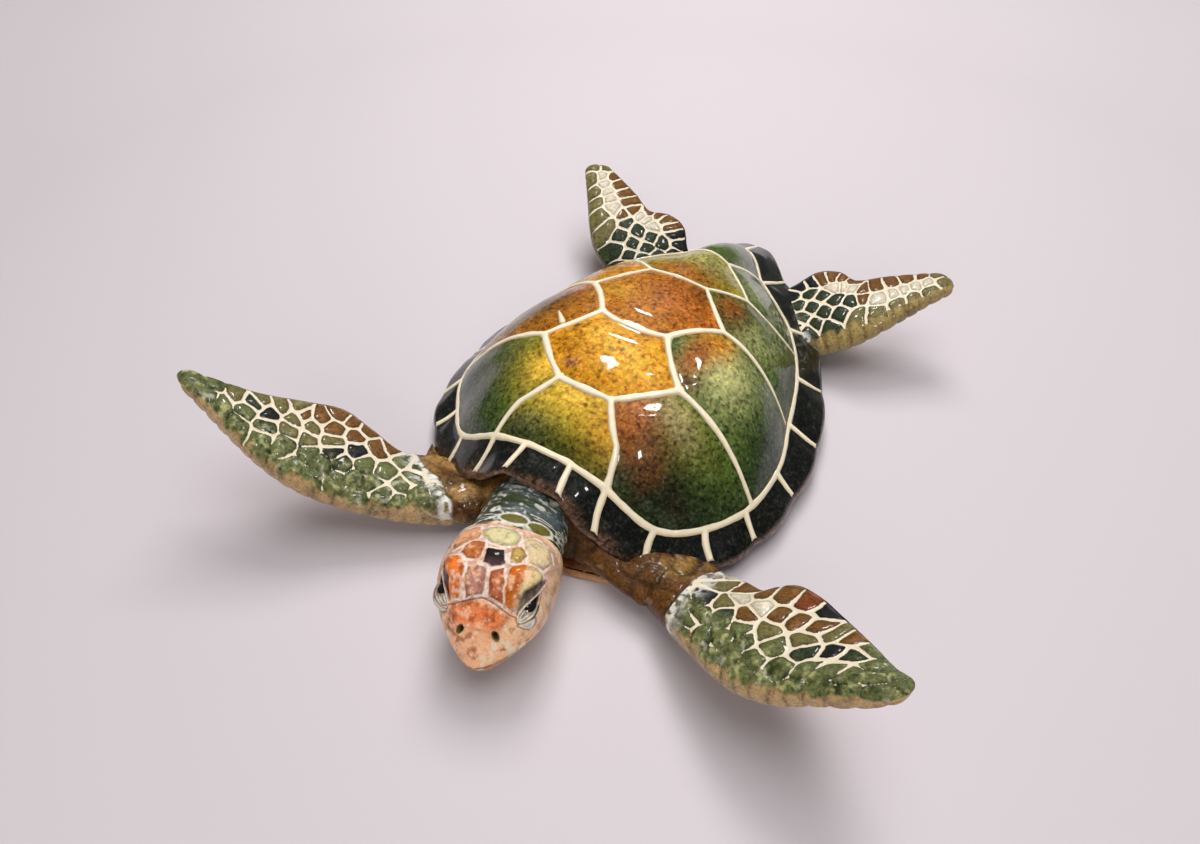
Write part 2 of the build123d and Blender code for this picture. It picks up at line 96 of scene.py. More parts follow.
def lamp(name, place, target, size, watts, color=(1, 1, 1)):
    """A square area lamp that looks from its place to its target."""
    data = bpy.data.lights.new(name, "AREA")
    data.size = size * MM
    data.energy = watts
    data.color = color
    holder = bpy.data.objects.new(name, data)
    back = np.array(place, float) - np.array(target, float)
    back /= np.linalg.norm(back)
    side = np.cross((0, 0, 1), back)
    side /= np.linalg.norm(side)
    pose = np.eye(4)
    pose[:3, :3] = np.stack([side, np.cross(back, side), back], axis=1)
    pose[:3, 3] = np.array(place) * MM
    holder.matrix_world = Matrix(pose.tolist())
    bpy.context.scene.collection.objects.link(holder)
    return holder


soft_lamps = [
    lamp("window", (-160, 330, 520), (0, 0, 10), 260, 2.9, (1.0, 0.98, 0.97)),
    lamp("ceiling", (60, 40, 760), (0, 0, 0), 620, 3.5),
    lamp("front_fill", (260, -620, 300), (0, -30, 10), 500, 2.1, (1.0, 0.98, 0.97)),
]
for holder in soft_lamps:
    holder.visible_glossy = False

# Way towards each small lamp, its size and its power
glints = [
    ((-0.36, 0.63, 0.69), 62, 0.50), ((-0.37, 0.32, 0.87), 46, 0.29),
    ((0.12, 0.27, 0.96), 42, 0.24), ((0.17, 0.58, 0.80), 40, 0.22),
    ((0.24, 0.08, 0.97), 44, 0.22), ((0.47, -0.34, 0.81), 56, 0.36),
]
for i, (way, size, watts) in enumerate(glints):
    place = GLINT_DISTANCE * np.array(way) + GLINT_TARGET
    lamp("glint_%d" % i, place, GLINT_TARGET, size, watts).visible_diffuse = False

world = bpy.data.worlds.new("studio")
world.use_nodes = True
backdrop = world.node_tree.nodes["Background"]
backdrop.inputs["Color"].default_value = (0.80, 0.79, 0.82, 1)
seen = world.node_tree.nodes.new("ShaderNodeLightPath")
brightness = world.node_tree.nodes.new("ShaderNodeMapRange")
brightness.inputs["To Min"].default_value = WORLD_LIGHT
brightness.inputs["To Max"].default_value = WORLD_SEEN
world.node_tree.links.new(seen.outputs["Is Camera Ray"], brightness.inputs["Value"])
world.node_tree.links.new(brightness.outputs["Result"], backdrop.inputs["Strength"])
bpy.context.scene.world = world
bpy.context.scene.view_settings.view_transform = "Standard"
print(len(soft_lamps), "soft lamps and", len(glints), "glints")

# %% [markdown]
# ## Helpers for meshes
#
# Every piece is a surface worked out as whole arrays: a grid of points whose rows run along
# the piece and whose columns run round it. The helpers below turn such a grid into a closed
# mesh with its faces outward, and give a mesh its painted values.

# %% Turn grids into meshes
def grid_faces(rows, columns):
    """Quads between neighbouring rows and columns of a grid that is closed round: its last
    column is joined to its first."""
    i, j = np.meshgrid(np.arange(rows - 1), np.arange(columns), indexing="ij")
    k = (j + 1) % columns
    here, ahead = i * columns, (i + 1) * columns
    return np.stack([here + j, here + k, ahead + k, ahead + j], -1).reshape(-1, 4)


def closed_tube(grid):
    """Points and faces of a grid closed round, with both ends drawn to a pole."""
    rows, columns = grid.shape[:2]
    points = np.concatenate([grid.reshape(-1, 3), grid[:1].mean(1), grid[-1:].mean(1)])
    first_pole, last_pole = rows * columns, rows * columns + 1
    j = np.arange(columns)
    k = (j + 1) % columns
    start = np.stack([np.full(columns, first_pole), k, j], -1)
    end_row = (rows - 1) * columns
    end = np.stack([np.full(columns, last_pole), end_row + j, end_row + k], -1)
    return points, [*grid_faces(rows, columns).tolist(), *start.tolist(), *end.tolist()]


def signed_volume(points, faces):
    """Volume within the faces, below zero where they look inward: a sixth of the sum of
    a . (b x c) over the triangles of each face."""
    quads = np.array([f if len(f) == 4 else [*f, f[2]] for f in faces])
    a, b, c, d = (points[quads[:, i]] for i in range(4))
    return ((a * np.cross(b, c)).sum() + (a * np.cross(c, d)).sum()) / 6


def make_piece(name, points, faces, material, nodes=(), paint=None, values=None):
    """A smooth mesh object from points in millimetres, riding on the figurine's one body.
    paint is a colour for each point and values are named numbers for each point."""
    if signed_volume(points, faces) < 0:
        faces = [f[::-1] for f in faces]
    mesh = bpy.data.meshes.new(name)
    mesh.from_pydata((points * MM).tolist(), [], faces)
    mesh.shade_smooth()
    if paint is not None:
        layer = mesh.attributes.new("paint", "FLOAT_COLOR", "POINT")
        rgba = np.concatenate([paint, np.ones((len(paint), 1))], 1)
        layer.data.foreach_set("color", rgba.astype(np.float32).ravel())
    for key, value in (values or {}).items():
        layer = mesh.attributes.new(key, "FLOAT", "POINT")
        layer.data.foreach_set("value", value.astype(np.float32))
    mesh.materials.append(material)
    piece = bpy.data.objects.new(name, mesh)
    bpy.context.scene.collection.objects.link(piece)
    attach(piece, "root")
    if nodes:
        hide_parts(*nodes)
    print(name, len(points), "points,", len(faces), "faces")


print("a tube of 3 rings of 4 has", len(closed_tube(np.zeros((3, 4, 3)))[1]), "faces")

# %% [markdown]
# ## Helpers for shapes and paint
#
# Three tools carve and paint everything here. A smooth curve through a few given values
# gives outlines and profiles. Lattice noise, random values blended between the corners of
# cubes, roughens them. Distances to lines and to scattered seeds give seams, scales and
# creases.

# %% Define curves, noise and distances
# Large odd numbers that scramble a corner's place in the lattice into a random value
CORNER_FACTORS = np.array([374761393, 668265263, 2147483647])
SEED_FACTOR, LAST_FACTOR = 974634777, 1274126177


def smooth(knots, values, at):
    """Cubic curve through values at knots: each stretch blends its ends with the slopes
    of their neighbours' chords, and the curve is level at its two ends."""
    knots, values = np.asarray(knots, float), np.asarray(values, float)
    slopes = np.zeros_like(values)
    span = (knots[2:] - knots[:-2]).reshape(-1, *[1] * (values.ndim - 1))
    slopes[1:-1] = (values[2:] - values[:-2]) / span
    i = np.clip(np.searchsorted(knots, at) - 1, 0, len(knots) - 2)
    width = knots[i + 1] - knots[i]
    t = np.clip((at - knots[i]) / width, 0, 1)
    if values.ndim > 1:
        t, width = t[..., None], width[..., None]
    start = (2 * t**3 - 3 * t**2 + 1) * values[i] + (t**3 - 2 * t**2 + t) * width * slopes[i]
    end = (3 * t**2 - 2 * t**3) * values[i + 1] + (t**3 - t**2) * width * slopes[i + 1]
    return start + end


def step(low, high, value):
    """0 below low, 1 above high, and an S-shaped rise between them."""
    t = np.clip((value - low) / (high - low), 0, 1)
    return t * t * (3 - 2 * t)


def noise(points, size, seed=0):
    """Smooth random value from -1 to 1 whose bumps are about size wide: random numbers on
    the corners of cubes, blended inside each cube with S-shaped weights."""
    scaled = points / size
    cell = np.floor(scaled).astype(np.int64)
    part = scaled - cell
    part = part * part * (3 - 2 * part)
    total = np.zeros(points.shape[:-1])
    for corner in product((0, 1), repeat=3):
        c = cell + np.array(corner)
        hashed = (c * CORNER_FACTORS).sum(-1) + seed * SEED_FACTOR
        hashed = (hashed ^ (hashed >> 13)) * LAST_FACTOR
        value = ((hashed ^ (hashed >> 16)) & 0xFFFF) / 32767.5 - 1
        weight = np.prod(np.where(corner, part, 1 - part), axis=-1)
        total += weight * value
    return total


def layered(points, size, seed=0):
    """Three noises, each half as wide and as high as the one before, over the sum of their
    heights: (n0 + n1 / 2 + n2 / 4) / 1.75."""
    return sum(noise(points, size / 2**k, seed + k) / 2**k for k in range(3)) / 1.75


def near_line(points, line, widths, reach=4.0):
    """Distance past the edge of a bent line, and distance over its half width, for the
    points within reach of it: the foot on each straight run is the dot product along the
    run, kept between its ends."""
    distance = np.full(len(points), 99.0)
    ratio = np.full(len(points), 99.0)
    low, high = line.min(0) - reach, line.max(0) + reach
    near = np.nonzero(((points > low) & (points < high)).all(1))[0]
    close = points[near]
    for a, b, wa, wb in zip(line[:-1], line[1:], widths[:-1], widths[1:]):
        run = b - a
        along = np.clip((close - a) @ run / (run @ run), 0, 1)
        gap = np.linalg.norm(close - a - along[:, None] * run, axis=1)
        width = wa + (wb - wa) * along
        distance[near] = np.minimum(distance[near], gap - width)
        ratio[near] = np.minimum(ratio[near], gap / width)
    return distance, ratio


print("a step is", float(step(0.0, 1.0, 0.25)), "high a quarter of the way along")

# %% [markdown]
# ## Helpers for colours
#
# Paint goes on in layers here. A layer is one colour with a share for every point, and it
# hides what lies under it by that share, as thin paint does. The colours were read on a
# screen's scale, but light adds up on a linear one, so they are converted.

# %% Mix colours
def mix(base, color, share):
    """Blend of two colours, or of a colour for each point, by a share for each point."""
    return base + (np.asarray(color) - base) * np.clip(share, 0, 1)[..., None]


def painted(base, *layers):
    """Colours after layers of (colour, share for each point), one over the other."""
    for color, share in layers:
        base = mix(base, color, share)
    return base


def srgb(red, green, blue):
    """A colour read on the usual 0 to 255 scale, as linear light."""
    c = np.array([red, green, blue]) / 255
    return np.where(c <= 0.04045, c / 12.92, ((c + 0.055) / 1.055) ** 2.4)


print("middle grey is", round(float(srgb(128, 128, 128)[0]), 3), "in linear light")

# %% [markdown]
# ## Helpers for shader nodes
#
# A shader is a net of small nodes. Each helper adds one node, links or sets its inputs and
# returns the output that is used, so that a net reads like a calculation.

# %% Add and link nodes
def new_group(name, inputs, outputs):
    """An empty shader group with its sockets; inputs are (name, type, value)."""
    group = bpy.data.node_groups.new(name, "ShaderNodeTree")
    for label, kind, value in inputs:
        socket = group.interface.new_socket(name=label, in_out="INPUT", socket_type=kind)
        if value is not None:
            socket.default_value = value
    for label, kind in outputs:
        group.interface.new_socket(name=label, in_out="OUTPUT", socket_type=kind)
    return group, group.nodes.new("NodeGroupInput"), group.nodes.new("NodeGroupOutput")


def connect(tree, node, links):
    """Link or set a node's inputs, by name or number."""
    for key, source in dict(links).items():
        if isinstance(source, bpy.types.NodeSocket):
            tree.links.new(source, node.inputs[key])
        else:
            node.inputs[key].default_value = source


def add_node(tree, kind, links=(), **settings):
    """A node with its settings and inputs."""
    node = tree.nodes.new(kind)
    for key, value in settings.items():
        setattr(node, key, value)
    connect(tree, node, links)
    return node


def calculate(tree, operation, first, second):
    """Result of a Math node."""
    node = add_node(tree, "ShaderNodeMath", {0: first, 1: second}, operation=operation)
    return node.outputs[0]


def rising(tree, value, low, high):
    """0 at low, 1 at high, and clamped beyond them."""
    return add_node(tree, "ShaderNodeMapRange", {0: value, 1: low, 2: high}).outputs[0]


def rough_pattern(tree, place, scale, detail):
    """Factor of a Noise Texture."""
    settings = {"Vector": place, "Scale": scale, "Detail": detail}
    return add_node(tree, "ShaderNodeTexNoise", settings).outputs["Fac"]


def mixed(tree, kind, share, first, second):
    """Colour of a Mix node of one kind."""
    links = {0: share, 6: first, 7: second}
    return add_node(tree, "ShaderNodeMix", links, data_type="RGBA", blend_type=kind).outputs[2]


print("shader nodes of Blender", bpy.app.version_string)

# %% [markdown]
# ## Node groups for the paint
#
# Every casting is painted in the same way, so its effects are node groups. "speckle" is the
# sponged grain of the colour: the shell was dabbed with darker and lighter flecks about a
# millimetre wide. "brushwork" breaks the edge of a painted line so that it looks drawn by
# hand. Image textures would be quicker, but these stay sharp at any size.

# %% Build the node groups
def speckle_group():
    """Colour broken into sponged flecks: a coarse noise multiplies the colour by itself,
    which darkens it, and a finer one adds the fleck tint times its square root."""
    sockets = [("Color", "NodeSocketColor", None), ("Grain", "NodeSocketFloat", 900.0)]
    sockets += [("Dark", "NodeSocketFloat", 0.5), ("Light", "NodeSocketFloat", 0.5)]
    sockets += [("Fleck", "NodeSocketColor", (0.34, 0.30, 0.20, 1.0))]
    outputs = [("Color", "NodeSocketColor"), ("Height", "NodeSocketFloat")]
    tree, given, result = new_group("speckle", sockets, outputs)
    place = add_node(tree, "ShaderNodeTexCoord").outputs["Object"]
    color, grain = given.outputs["Color"], given.outputs["Grain"]
    coarse = rough_pattern(tree, place, grain, 5.0)
    fine = rough_pattern(tree, place, calculate(tree, "MULTIPLY", grain, 1.4), 2.0)
    dark = calculate(tree, "MULTIPLY", rising(tree, coarse, 0.52, 0.36), given.outputs["Dark"])
    light = calculate(tree, "MULTIPLY", rising(tree, fine, 0.50, 0.66), given.outputs["Light"])
    darker = mixed(tree, "MULTIPLY", dark, color, color)
    root = add_node(tree, "ShaderNodeGamma", {"Color": color, "Gamma": 0.5}).outputs[0]
    fleck = mixed(tree, "MULTIPLY", 1.0, root, given.outputs["Fleck"])
    tree.links.new(mixed(tree, "ADD", light, darker, fleck), result.inputs["Color"])
    tree.links.new(fine, result.inputs["Height"])
    return tree


def brushwork_group():
    """Mask of a painted line from the distance to its edge, with the edge shifted by
    noise so that it wavers and frays."""
    sockets = [("Distance", "NodeSocketFloat", 1.0), ("Waver", "NodeSocketFloat", 0.2)]
    sockets += [("Soft", "NodeSocketFloat", 0.08), ("Scale", "NodeSocketFloat", 1200.0)]
    tree, given, result = new_group("brushwork", sockets, [("Mask", "NodeSocketFloat")])
    place = add_node(tree, "ShaderNodeTexCoord").outputs["Object"]
    fray = rough_pattern(tree, place, given.outputs["Scale"], 3.0)
    centred = calculate(tree, "SUBTRACT", fray, 0.5)
    shift = calculate(tree, "MULTIPLY", centred, given.outputs["Waver"])
    moved = calculate(tree, "ADD", given.outputs["Distance"], shift)
    mask = rising(tree, moved, given.outputs["Soft"], 0.0)
    tree.links.new(mask, result.inputs["Mask"])
    return tree


SPECKLE = speckle_group()
BRUSHWORK = brushwork_group()
print("groups:", SPECKLE.name, "and", BRUSHWORK.name)

# %% [markdown]
# ## Painted resin
#
# All the castings share one recipe. Under it all is the colour painted on each point of the
# mesh, then come the flecks, then a line where the piece has one, and the lacquer is the
# shader's clear coat. The values tell the shell's deep gloss from the skin's dull sheen.

# %% Mix the painted resin
GRAIN_DEPTH = 0.0002
LACQUER = {"Specular IOR Level": 0.15, "Coat Roughness": 0.05, "Coat IOR": 1.45}


def paint_material(name, grain, dark, light, rough, coat, bump, line=None, waver=0.5):
    """Painted resin: the paint attribute, sponged, with an optional painted line from the
    line attribute, and lacquer as the coat."""
    material = bpy.data.materials.new(name)
    material.use_nodes = True
    tree = material.node_tree
    shader = tree.nodes["Principled BSDF"]
    paint = add_node(tree, "ShaderNodeAttribute", attribute_name="paint")
    sponged = {"Color": paint.outputs["Color"], "Grain": grain, "Dark": dark, "Light": light}
    flecks = tree.nodes.new("ShaderNodeGroup")
    flecks.node_tree = SPECKLE
    connect(tree, flecks, sponged)
    color = flecks.outputs["Color"]
    if line is not None:
        distance = add_node(tree, "ShaderNodeAttribute", attribute_name="line")
        stroke = tree.nodes.new("ShaderNodeGroup")
        stroke.node_tree = BRUSHWORK
        connect(tree, stroke, {"Distance": distance.outputs["Fac"], "Waver": waver})
        color = mixed(tree, "MIX", stroke.outputs["Mask"], color, (*line, 1))
    grains = {"Height": flecks.outputs["Height"], "Strength": bump, "Distance": GRAIN_DEPTH}
    normal = add_node(tree, "ShaderNodeBump", grains).outputs["Normal"]
    surface = {"Base Color": color, "Normal": normal, "Roughness": rough, "Coat Weight": coat}
    connect(tree, shader, {**surface, **LACQUER})
    return material


print("lacquer:", LACQUER)

# %% [markdown]
# ## The shape of the shell
#
# Sea turtle shells are a low dome with a flange of small scutes round it. The dome here
# falls from the crown as a power of the distance to the dome's edge, and the flange is a
# straight slope from that edge to the rim. Both rings are tables of places, so the shell
# can be asked for its height anywhere. A sculpted mesh would look as good, but seams could
# not be laid on it so easily.

# %% Define the roof of the shell
HALF_WIDTH = 48.5
LENGTH = 123.0
CROWN_HEIGHT = 34.5
MIDDLE_Y = 3.5
CROWN_Y = -5.0
WALL = 2.2
SIDE_FULLNESS = 2.7
FRONT_FULLNESS = 3.0

# Across as a share of half the width, along as a share of the length from the middle, up
# as a share of the height, from the front of the midline to the tail
rim_shares = np.array([
    (0.0, -0.495, 0.615), (0.151, -0.498, 0.600), (0.344, -0.498, 0.375),
    (0.577, -0.474, 0.188), (0.829, -0.397, 0.145), (0.948, -0.310, 0.145),
    (1.0, -0.175, 0.154), (0.975, -0.033, 0.168), (0.847, 0.118, 0.188),
    (0.629, 0.263, 0.235), (0.301, 0.407, 0.275), (0.0, 0.5, 0.304),
])
dome_edge_shares = np.array([
    (0.0, -0.437, 0.675), (0.126, -0.437, 0.667), (0.313, -0.437, 0.586),
    (0.559, -0.425, 0.357), (0.734, -0.358, 0.270), (0.852, -0.284, 0.284),
    (0.883, -0.171, 0.307), (0.806, -0.046, 0.333), (0.711, 0.080, 0.362),
    (0.520, 0.210, 0.391), (0.223, 0.319, 0.429), (0.0, 0.407, 0.464),
])


def placed(shares):
    """Places across, along and up from shares of the shell's sizes."""
    return shares * (HALF_WIDTH, LENGTH, CROWN_HEIGHT) + (0, MIDDLE_Y, 0)


def polar(x, y):
    """Angle from the front of the midline, and distance, both about the crown."""
    return np.arctan2(np.abs(x), CROWN_Y - y), np.hypot(x, y - CROWN_Y)


rim = placed(rim_shares)
dome_edge = placed(dome_edge_shares)
rim_angle, rim_reach = polar(rim[:, 0], rim[:, 1])
edge_angle, edge_reach = polar(dome_edge[:, 0], dome_edge[:, 1])


def roof(x, y):
    """Height of the shell: dome = edge height + (crown - edge height) * (1 - share ** p),
    where share is the distance over the distance of the dome's edge; flange = the line
    from the edge's height to the rim's."""
    angle, distance = polar(x, y)
    outer = smooth(rim_angle, rim_reach, angle)
    outer_z = smooth(rim_angle, rim[:, 2], angle)
    inner = smooth(edge_angle, edge_reach, angle)
    inner_z = smooth(edge_angle, dome_edge[:, 2], angle)
    power = SIDE_FULLNESS + (FRONT_FULLNESS - SIDE_FULLNESS) * (1 + np.cos(angle)) / 2
    dome = inner_z + (CROWN_HEIGHT - inner_z) * (1 - np.minimum(distance / inner, 1) ** power)
    past = np.clip((distance - inner) / (outer - inner), 0, 1.5)
    return np.where(distance < inner, dome, inner_z + (outer_z - inner_z) * past)


print("crown", round(float(roof(np.array([0.0]), np.array([CROWN_Y]))[0]), 1), "mm up")

# %% [markdown]
# ## The seams
#
# Cream lines are piped along the seams between the scutes, like icing. Each is a list of
# plan places with a half width, drawn on the roof. The same lines do three jobs: they are
# the raised cords themselves, they pillow the scutes between them, and they part the paint.

# %% Lay out the seams
corners = {
    "second_front": (7.0, -35.0), "second_side": (18.5, -24.2), "second_rear": (9.0, -12.9),
    "first_bend": (13.2, -42.7), "first_edge": (15.2, -50.3), "shoulder_edge": (42.0, -29.4),
    "third_side": (18.5, -1.6), "flank_edge": (38.7, -3.8), "third_rear": (8.0, 9.4),
    "fourth_side": (16.9, 16.2), "fourth_bend": (23.5, 16.6), "hip_edge": (31.0, 20.2),
    "fourth_rear": (5.7, 27.9), "tail_edge": (10.8, 42.7),
}
BOLD, FINE, HAIR = 0.80, 0.58, 0.34
# Corners that a seam joins, its bow to the side in millimetres, and its two half widths
seam_runs = [
    ("first_edge", "first_bend", 0.3, BOLD, BOLD),
    ("first_bend", "second_front", -0.4, BOLD, BOLD),
    ("second_front", "second_side", 0.5, BOLD, BOLD),
    ("second_side", "second_rear", -0.6, BOLD, BOLD),
    ("second_side", "shoulder_edge", -1.0, BOLD, FINE),
    ("second_rear", "third_side", -0.5, BOLD, BOLD),
    ("third_side", "flank_edge", -1.6, BOLD, HAIR), ("third_side", "third_rear", -0.3, BOLD, FINE),
    ("third_rear", "fourth_side", 0.2, FINE, FINE), ("fourth_side", "fourth_bend", 0.2, FINE, HAIR),
    ("fourth_bend", "hip_edge", 0.5, FINE, HAIR), ("fourth_side", "fourth_rear", 0.3, FINE, FINE),
    ("fourth_rear", "tail_edge", 0.3, FINE, FINE),
]
seams_across = [
    ("second_front", 0.3, BOLD), ("second_rear", 1.6, BOLD), ("third_rear", 0.3, FINE),
    ("fourth_rear", 0.2, FINE),
]
thick_corners = [
    "second_front", "second_side", "second_rear", "first_edge", "third_side", "third_rear",
]
print(len(seam_runs), "seams on each side and", len(seams_across), "across")

# %% [markdown]
# ## Drawing the seams
#
# A hand that pipes icing starts thick, pulls thin, and never runs quite straight. So each
# seam is a straight run bowed to one side by a parabola, and it thins along its length.
# Round blobs sit where thick seams meet.

# %% Draw the seams
def on_roof(plan):
    """Plan places lifted onto the shell."""
    return np.concatenate([plan, roof(plan[:, 0], plan[:, 1])[:, None]], 1)


def bowed(start, end, bow, first, last, count=14):
    """A seam: the straight line plus a parabola of height bow to its side."""
    start, end = np.array(start, float), np.array(end, float)
    t = np.linspace(0, 1, count)
    run = end - start
    side = np.array([run[1], -run[0]]) / np.hypot(*run)
    plan = start + t[:, None] * run + (4 * t * (1 - t) * bow)[:, None] * side
    return plan, first + (last - first) * t**1.5


def ring_line(angles, ring_angle, ring_reach):
    """Plan places on a ring round the crown."""
    reach = smooth(ring_angle, ring_reach, np.abs(angles))
    return np.stack([reach * np.sin(angles), CROWN_Y - reach * np.cos(angles)], -1)


seams = []
for start, end, bow, first, last in seam_runs:
    plan, widths = bowed(corners[start], corners[end], bow, first, last)
    seams += [(plan, widths), (plan * (-1, 1), widths)]
for name, bow, width in seams_across:
    x, y = corners[name]
    seams.append(bowed((-x, y), (x, y), bow, width, width))
# The cream pooled where thick seams meet, so those corners are blobs
for name in thick_corners:
    x, y = corners[name]
    for side in (1, -1):
        blob = np.array([(side * x - 0.2, y - 0.1), (side * x + 0.2, y + 0.1)])
        seams.append((blob, np.full(2, 1.05 if y < -5 else 0.8)))
# A spur where the tip of the bag slipped
seams.append(bowed((-16.3, -19.6), (-19.6, -16.4), 0.0, 0.8, 0.2, 5))
# Short seams across the rim, hooked in front and thinner towards the tail
for i in range(1, len(rim)):
    hook = 0.9 if 2 <= i <= 4 else 0.3
    last = BOLD if i < 6 else FINE if i < 8 else HAIR
    end = rim[i, :2] + (dome_edge[i, :2] - rim[i, :2]) * 0.03
    plan, widths = bowed(dome_edge[i, :2], end, 0.5 * hook, BOLD, last, 9)
    seams.append((plan, widths))
    if i < len(rim) - 1:
        seams.append((plan * (-1, 1), widths))
around = np.linspace(-np.pi, np.pi, 241)
seams.append((ring_line(around, edge_angle, edge_reach), np.full(241, BOLD)))
seam_lines = [(on_roof(plan), widths) for plan, widths in seams]
print(len(seam_lines), "seams")


def seam_field(points):
    """Distance past the edge of the nearest seam, and the distance over its half width."""
    gap, ratio = np.full(len(points), 99.0), np.full(len(points), 99.0)
    for line, widths in seam_lines:
        g, r = near_line(points, line, widths, 6.0)
        gap, ratio = np.minimum(gap, g), np.minimum(ratio, r)
    return gap, ratio


# %% [markdown]
# ## The shell's surface
#
# The rim is scalloped, with a shallow arch over each small scute. The large scutes are
# pillowed a little and the glaze has broad dents, which breaks the lacquer's reflections as
# on the real one. Both are formulas of the place, so that the seams can be laid on them.

# %% Shape the rim and the glaze
SCALLOP = 0.8


def rim_outline(angle):
    """Distance of the rim: the smooth ring plus the arch of a sine over each small scute,
    fuller towards its rear end. The front one lies across the midline, so each side has
    half of it."""
    part = np.abs(angle)
    i = np.clip(np.searchsorted(rim_angle, part) - 1, 0, len(rim_angle) - 2)
    t = np.clip((part - rim_angle[i]) / (rim_angle[i + 1] - rim_angle[i]), 0, 1)
    t = np.where(i == 0, 0.5 + 0.5 * t, t)
    skew = 1 + 1.2 * step(1.2, 2.6, part)
    return smooth(rim_angle, rim_reach, part) + SCALLOP * np.sin(np.pi * t**skew) ** 0.8


def shell_relief(points, gap):
    """How far the glaze stands over the plain roof: each scute swells with the distance
    to its seams, and broad dents, strongest on the crown, break up the reflections."""
    crown = np.exp(-((np.hypot(points[..., 0], points[..., 1] + 18.0) / 20.0) ** 2))
    dents = 0.16 * layered(points, 13.0, 5) + 0.08 * noise(points, 4.2, 9)
    dents = dents + 0.03 * noise(points, 2.2, 10)
    crown_dents = 0.22 * crown * noise(points, 7.5, 12) * step(0.3, 3.0, gap)
    return 0.46 * step(0.0, 5.0, gap) + dents + crown_dents


print("rim", round(float(rim_outline(np.array([0.0]))[0]), 1), "mm in front of the crown")

# %% [markdown]
# ## The shell as one skin
#
# The shell is a polar grid about the crown. Its rows run out over the dome and the flange,
# round the lip of the rim, and back under to a second pole, so it is one closed skin with
# no edge to repair.

# %% Make the shell
ROUND_COUNT = 520
TOP_ROWS, LIP_ROWS, UNDER_ROWS = 150, 7, 16

angles = np.linspace(-np.pi, np.pi, ROUND_COUNT, endpoint=False)
lip = WALL / 2
reach = rim_outline(angles) - lip
direction = np.stack([np.sin(angles), -np.cos(angles)], -1)
share = np.linspace(0.012, 1, TOP_ROWS) ** 0.9
turn_down = np.linspace(0, np.pi, LIP_ROWS + 2)[1:-1]
under = np.linspace(1, 0.05, UNDER_ROWS)
out = np.concatenate([
    share[:, None] * reach, reach + lip * np.sin(turn_down)[:, None], under[:, None] * reach,
])
plan = np.stack([out * direction[:, 0], CROWN_Y + out * direction[:, 1]], -1)
base = roof(plan[..., 0], plan[..., 1])
drop = np.concatenate([
    np.zeros(TOP_ROWS), lip - lip * np.cos(turn_down), np.full(UNDER_ROWS, WALL),
])
top_points = np.concatenate([plan, base[..., None]], -1)
gap, ratio = (field.reshape(base.shape) for field in seam_field(top_points.reshape(-1, 3)))
pillow = shell_relief(top_points, gap)
shell_grid = top_points.copy()
shell_grid[..., 2] += np.where(drop[:, None] < 0.5, pillow, 0) - drop[:, None]
shell_points, shell_faces = closed_tube(shell_grid)
print("shell rim", round(float(out.max()), 1), "mm from the crown")

# %% [markdown]
# ## The shell's paint
#
# The colours were sprayed soft and then sponged: amber on the back, rust on the scutes
# behind and beside it, green to the sides and nearly black round the rim. Each scute was
# masked, so the colour jumps at a seam. The paint is therefore a list of soft spots, each
# kept inside the outline of one scute.

# %% Outline the scutes
AMBER, GOLD = srgb(204, 142, 16), srgb(232, 188, 66)
RUST, UMBER = srgb(158, 84, 16), srgb(92, 56, 16)
OLIVE, LEAF = srgb(142, 132, 32), srgb(70, 92, 30)
PALE_GREEN, DEEP_GREEN = srgb(184, 184, 124), srgb(24, 42, 18)
NIGHT, SMOKE = srgb(9, 12, 10), srgb(76, 78, 66)
FLESH = srgb(150, 108, 84)


def inside(polygon, x, y):
    """True where a ray to the right crosses the polygon's edges an odd number of times."""
    crossed = np.zeros(x.shape, bool)
    for (x1, y1), (x2, y2) in zip(polygon, polygon[1:] + polygon[:1]):
        if y1 != y2:
            crossed ^= ((y1 > y) != (y2 > y)) & (x < (x2 - x1) * (y - y1) / (y2 - y1) + x1)
    return crossed


def mirrored(*names):
    """Corners on the left, then the same corners on the right in return order."""
    left = [corners[name] for name in names]
    return left + [(-x, y) for x, y in reversed(left)]


def on_side(side, *names):
    """Corners of a scute beside the back, for the left side (1) or the right (-1)."""
    return [(side * corners[name][0], corners[name][1]) for name in names]


# Places beyond the rim that close the outer scutes
corners.update({
    "front": (60.0, -80.0), "shoulder": (70.0, -33.0), "flank": (75.0, -4.5), "hip": (75.0, 42.0),
    "tail": (40.0, 100.0),
})
scutes = {
    "V1": [(-20.0, -70.0), (20.0, -70.0)] + mirrored("first_edge", "first_bend", "second_front"),
    "V2": mirrored("second_front", "second_side", "second_rear"),
    "V3": mirrored("second_rear", "third_side", "third_rear"),
    "V4": mirrored("third_rear", "fourth_side", "fourth_rear"),
    "V5": [(-30.0, 90.0), (30.0, 90.0)] + mirrored("tail_edge", "fourth_rear"),
}
side_scutes = {
    "C1": "front first_edge first_bend second_front second_side shoulder_edge shoulder",
    "C2": "shoulder shoulder_edge second_side second_rear third_side flank_edge flank",
    "C3": "flank flank_edge third_side third_rear fourth_side fourth_bend hip_edge hip",
    "C4": "hip hip_edge fourth_bend fourth_side fourth_rear tail_edge tail",
}
for name, (side, mark) in product(side_scutes, ((1, "L"), (-1, "R"))):
    scutes[name + mark] = on_side(side, *side_scutes[name].split())
print(len(scutes), "scutes")

# %% [markdown]
# ## The spots of colour
#
# V1 to V5 are the scutes along the back from front to tail, C1 to C4 those beside them on
# the left (L) and the right (R). Each has a ground colour and then its spots, in the order
# in which they were sprayed over one another.

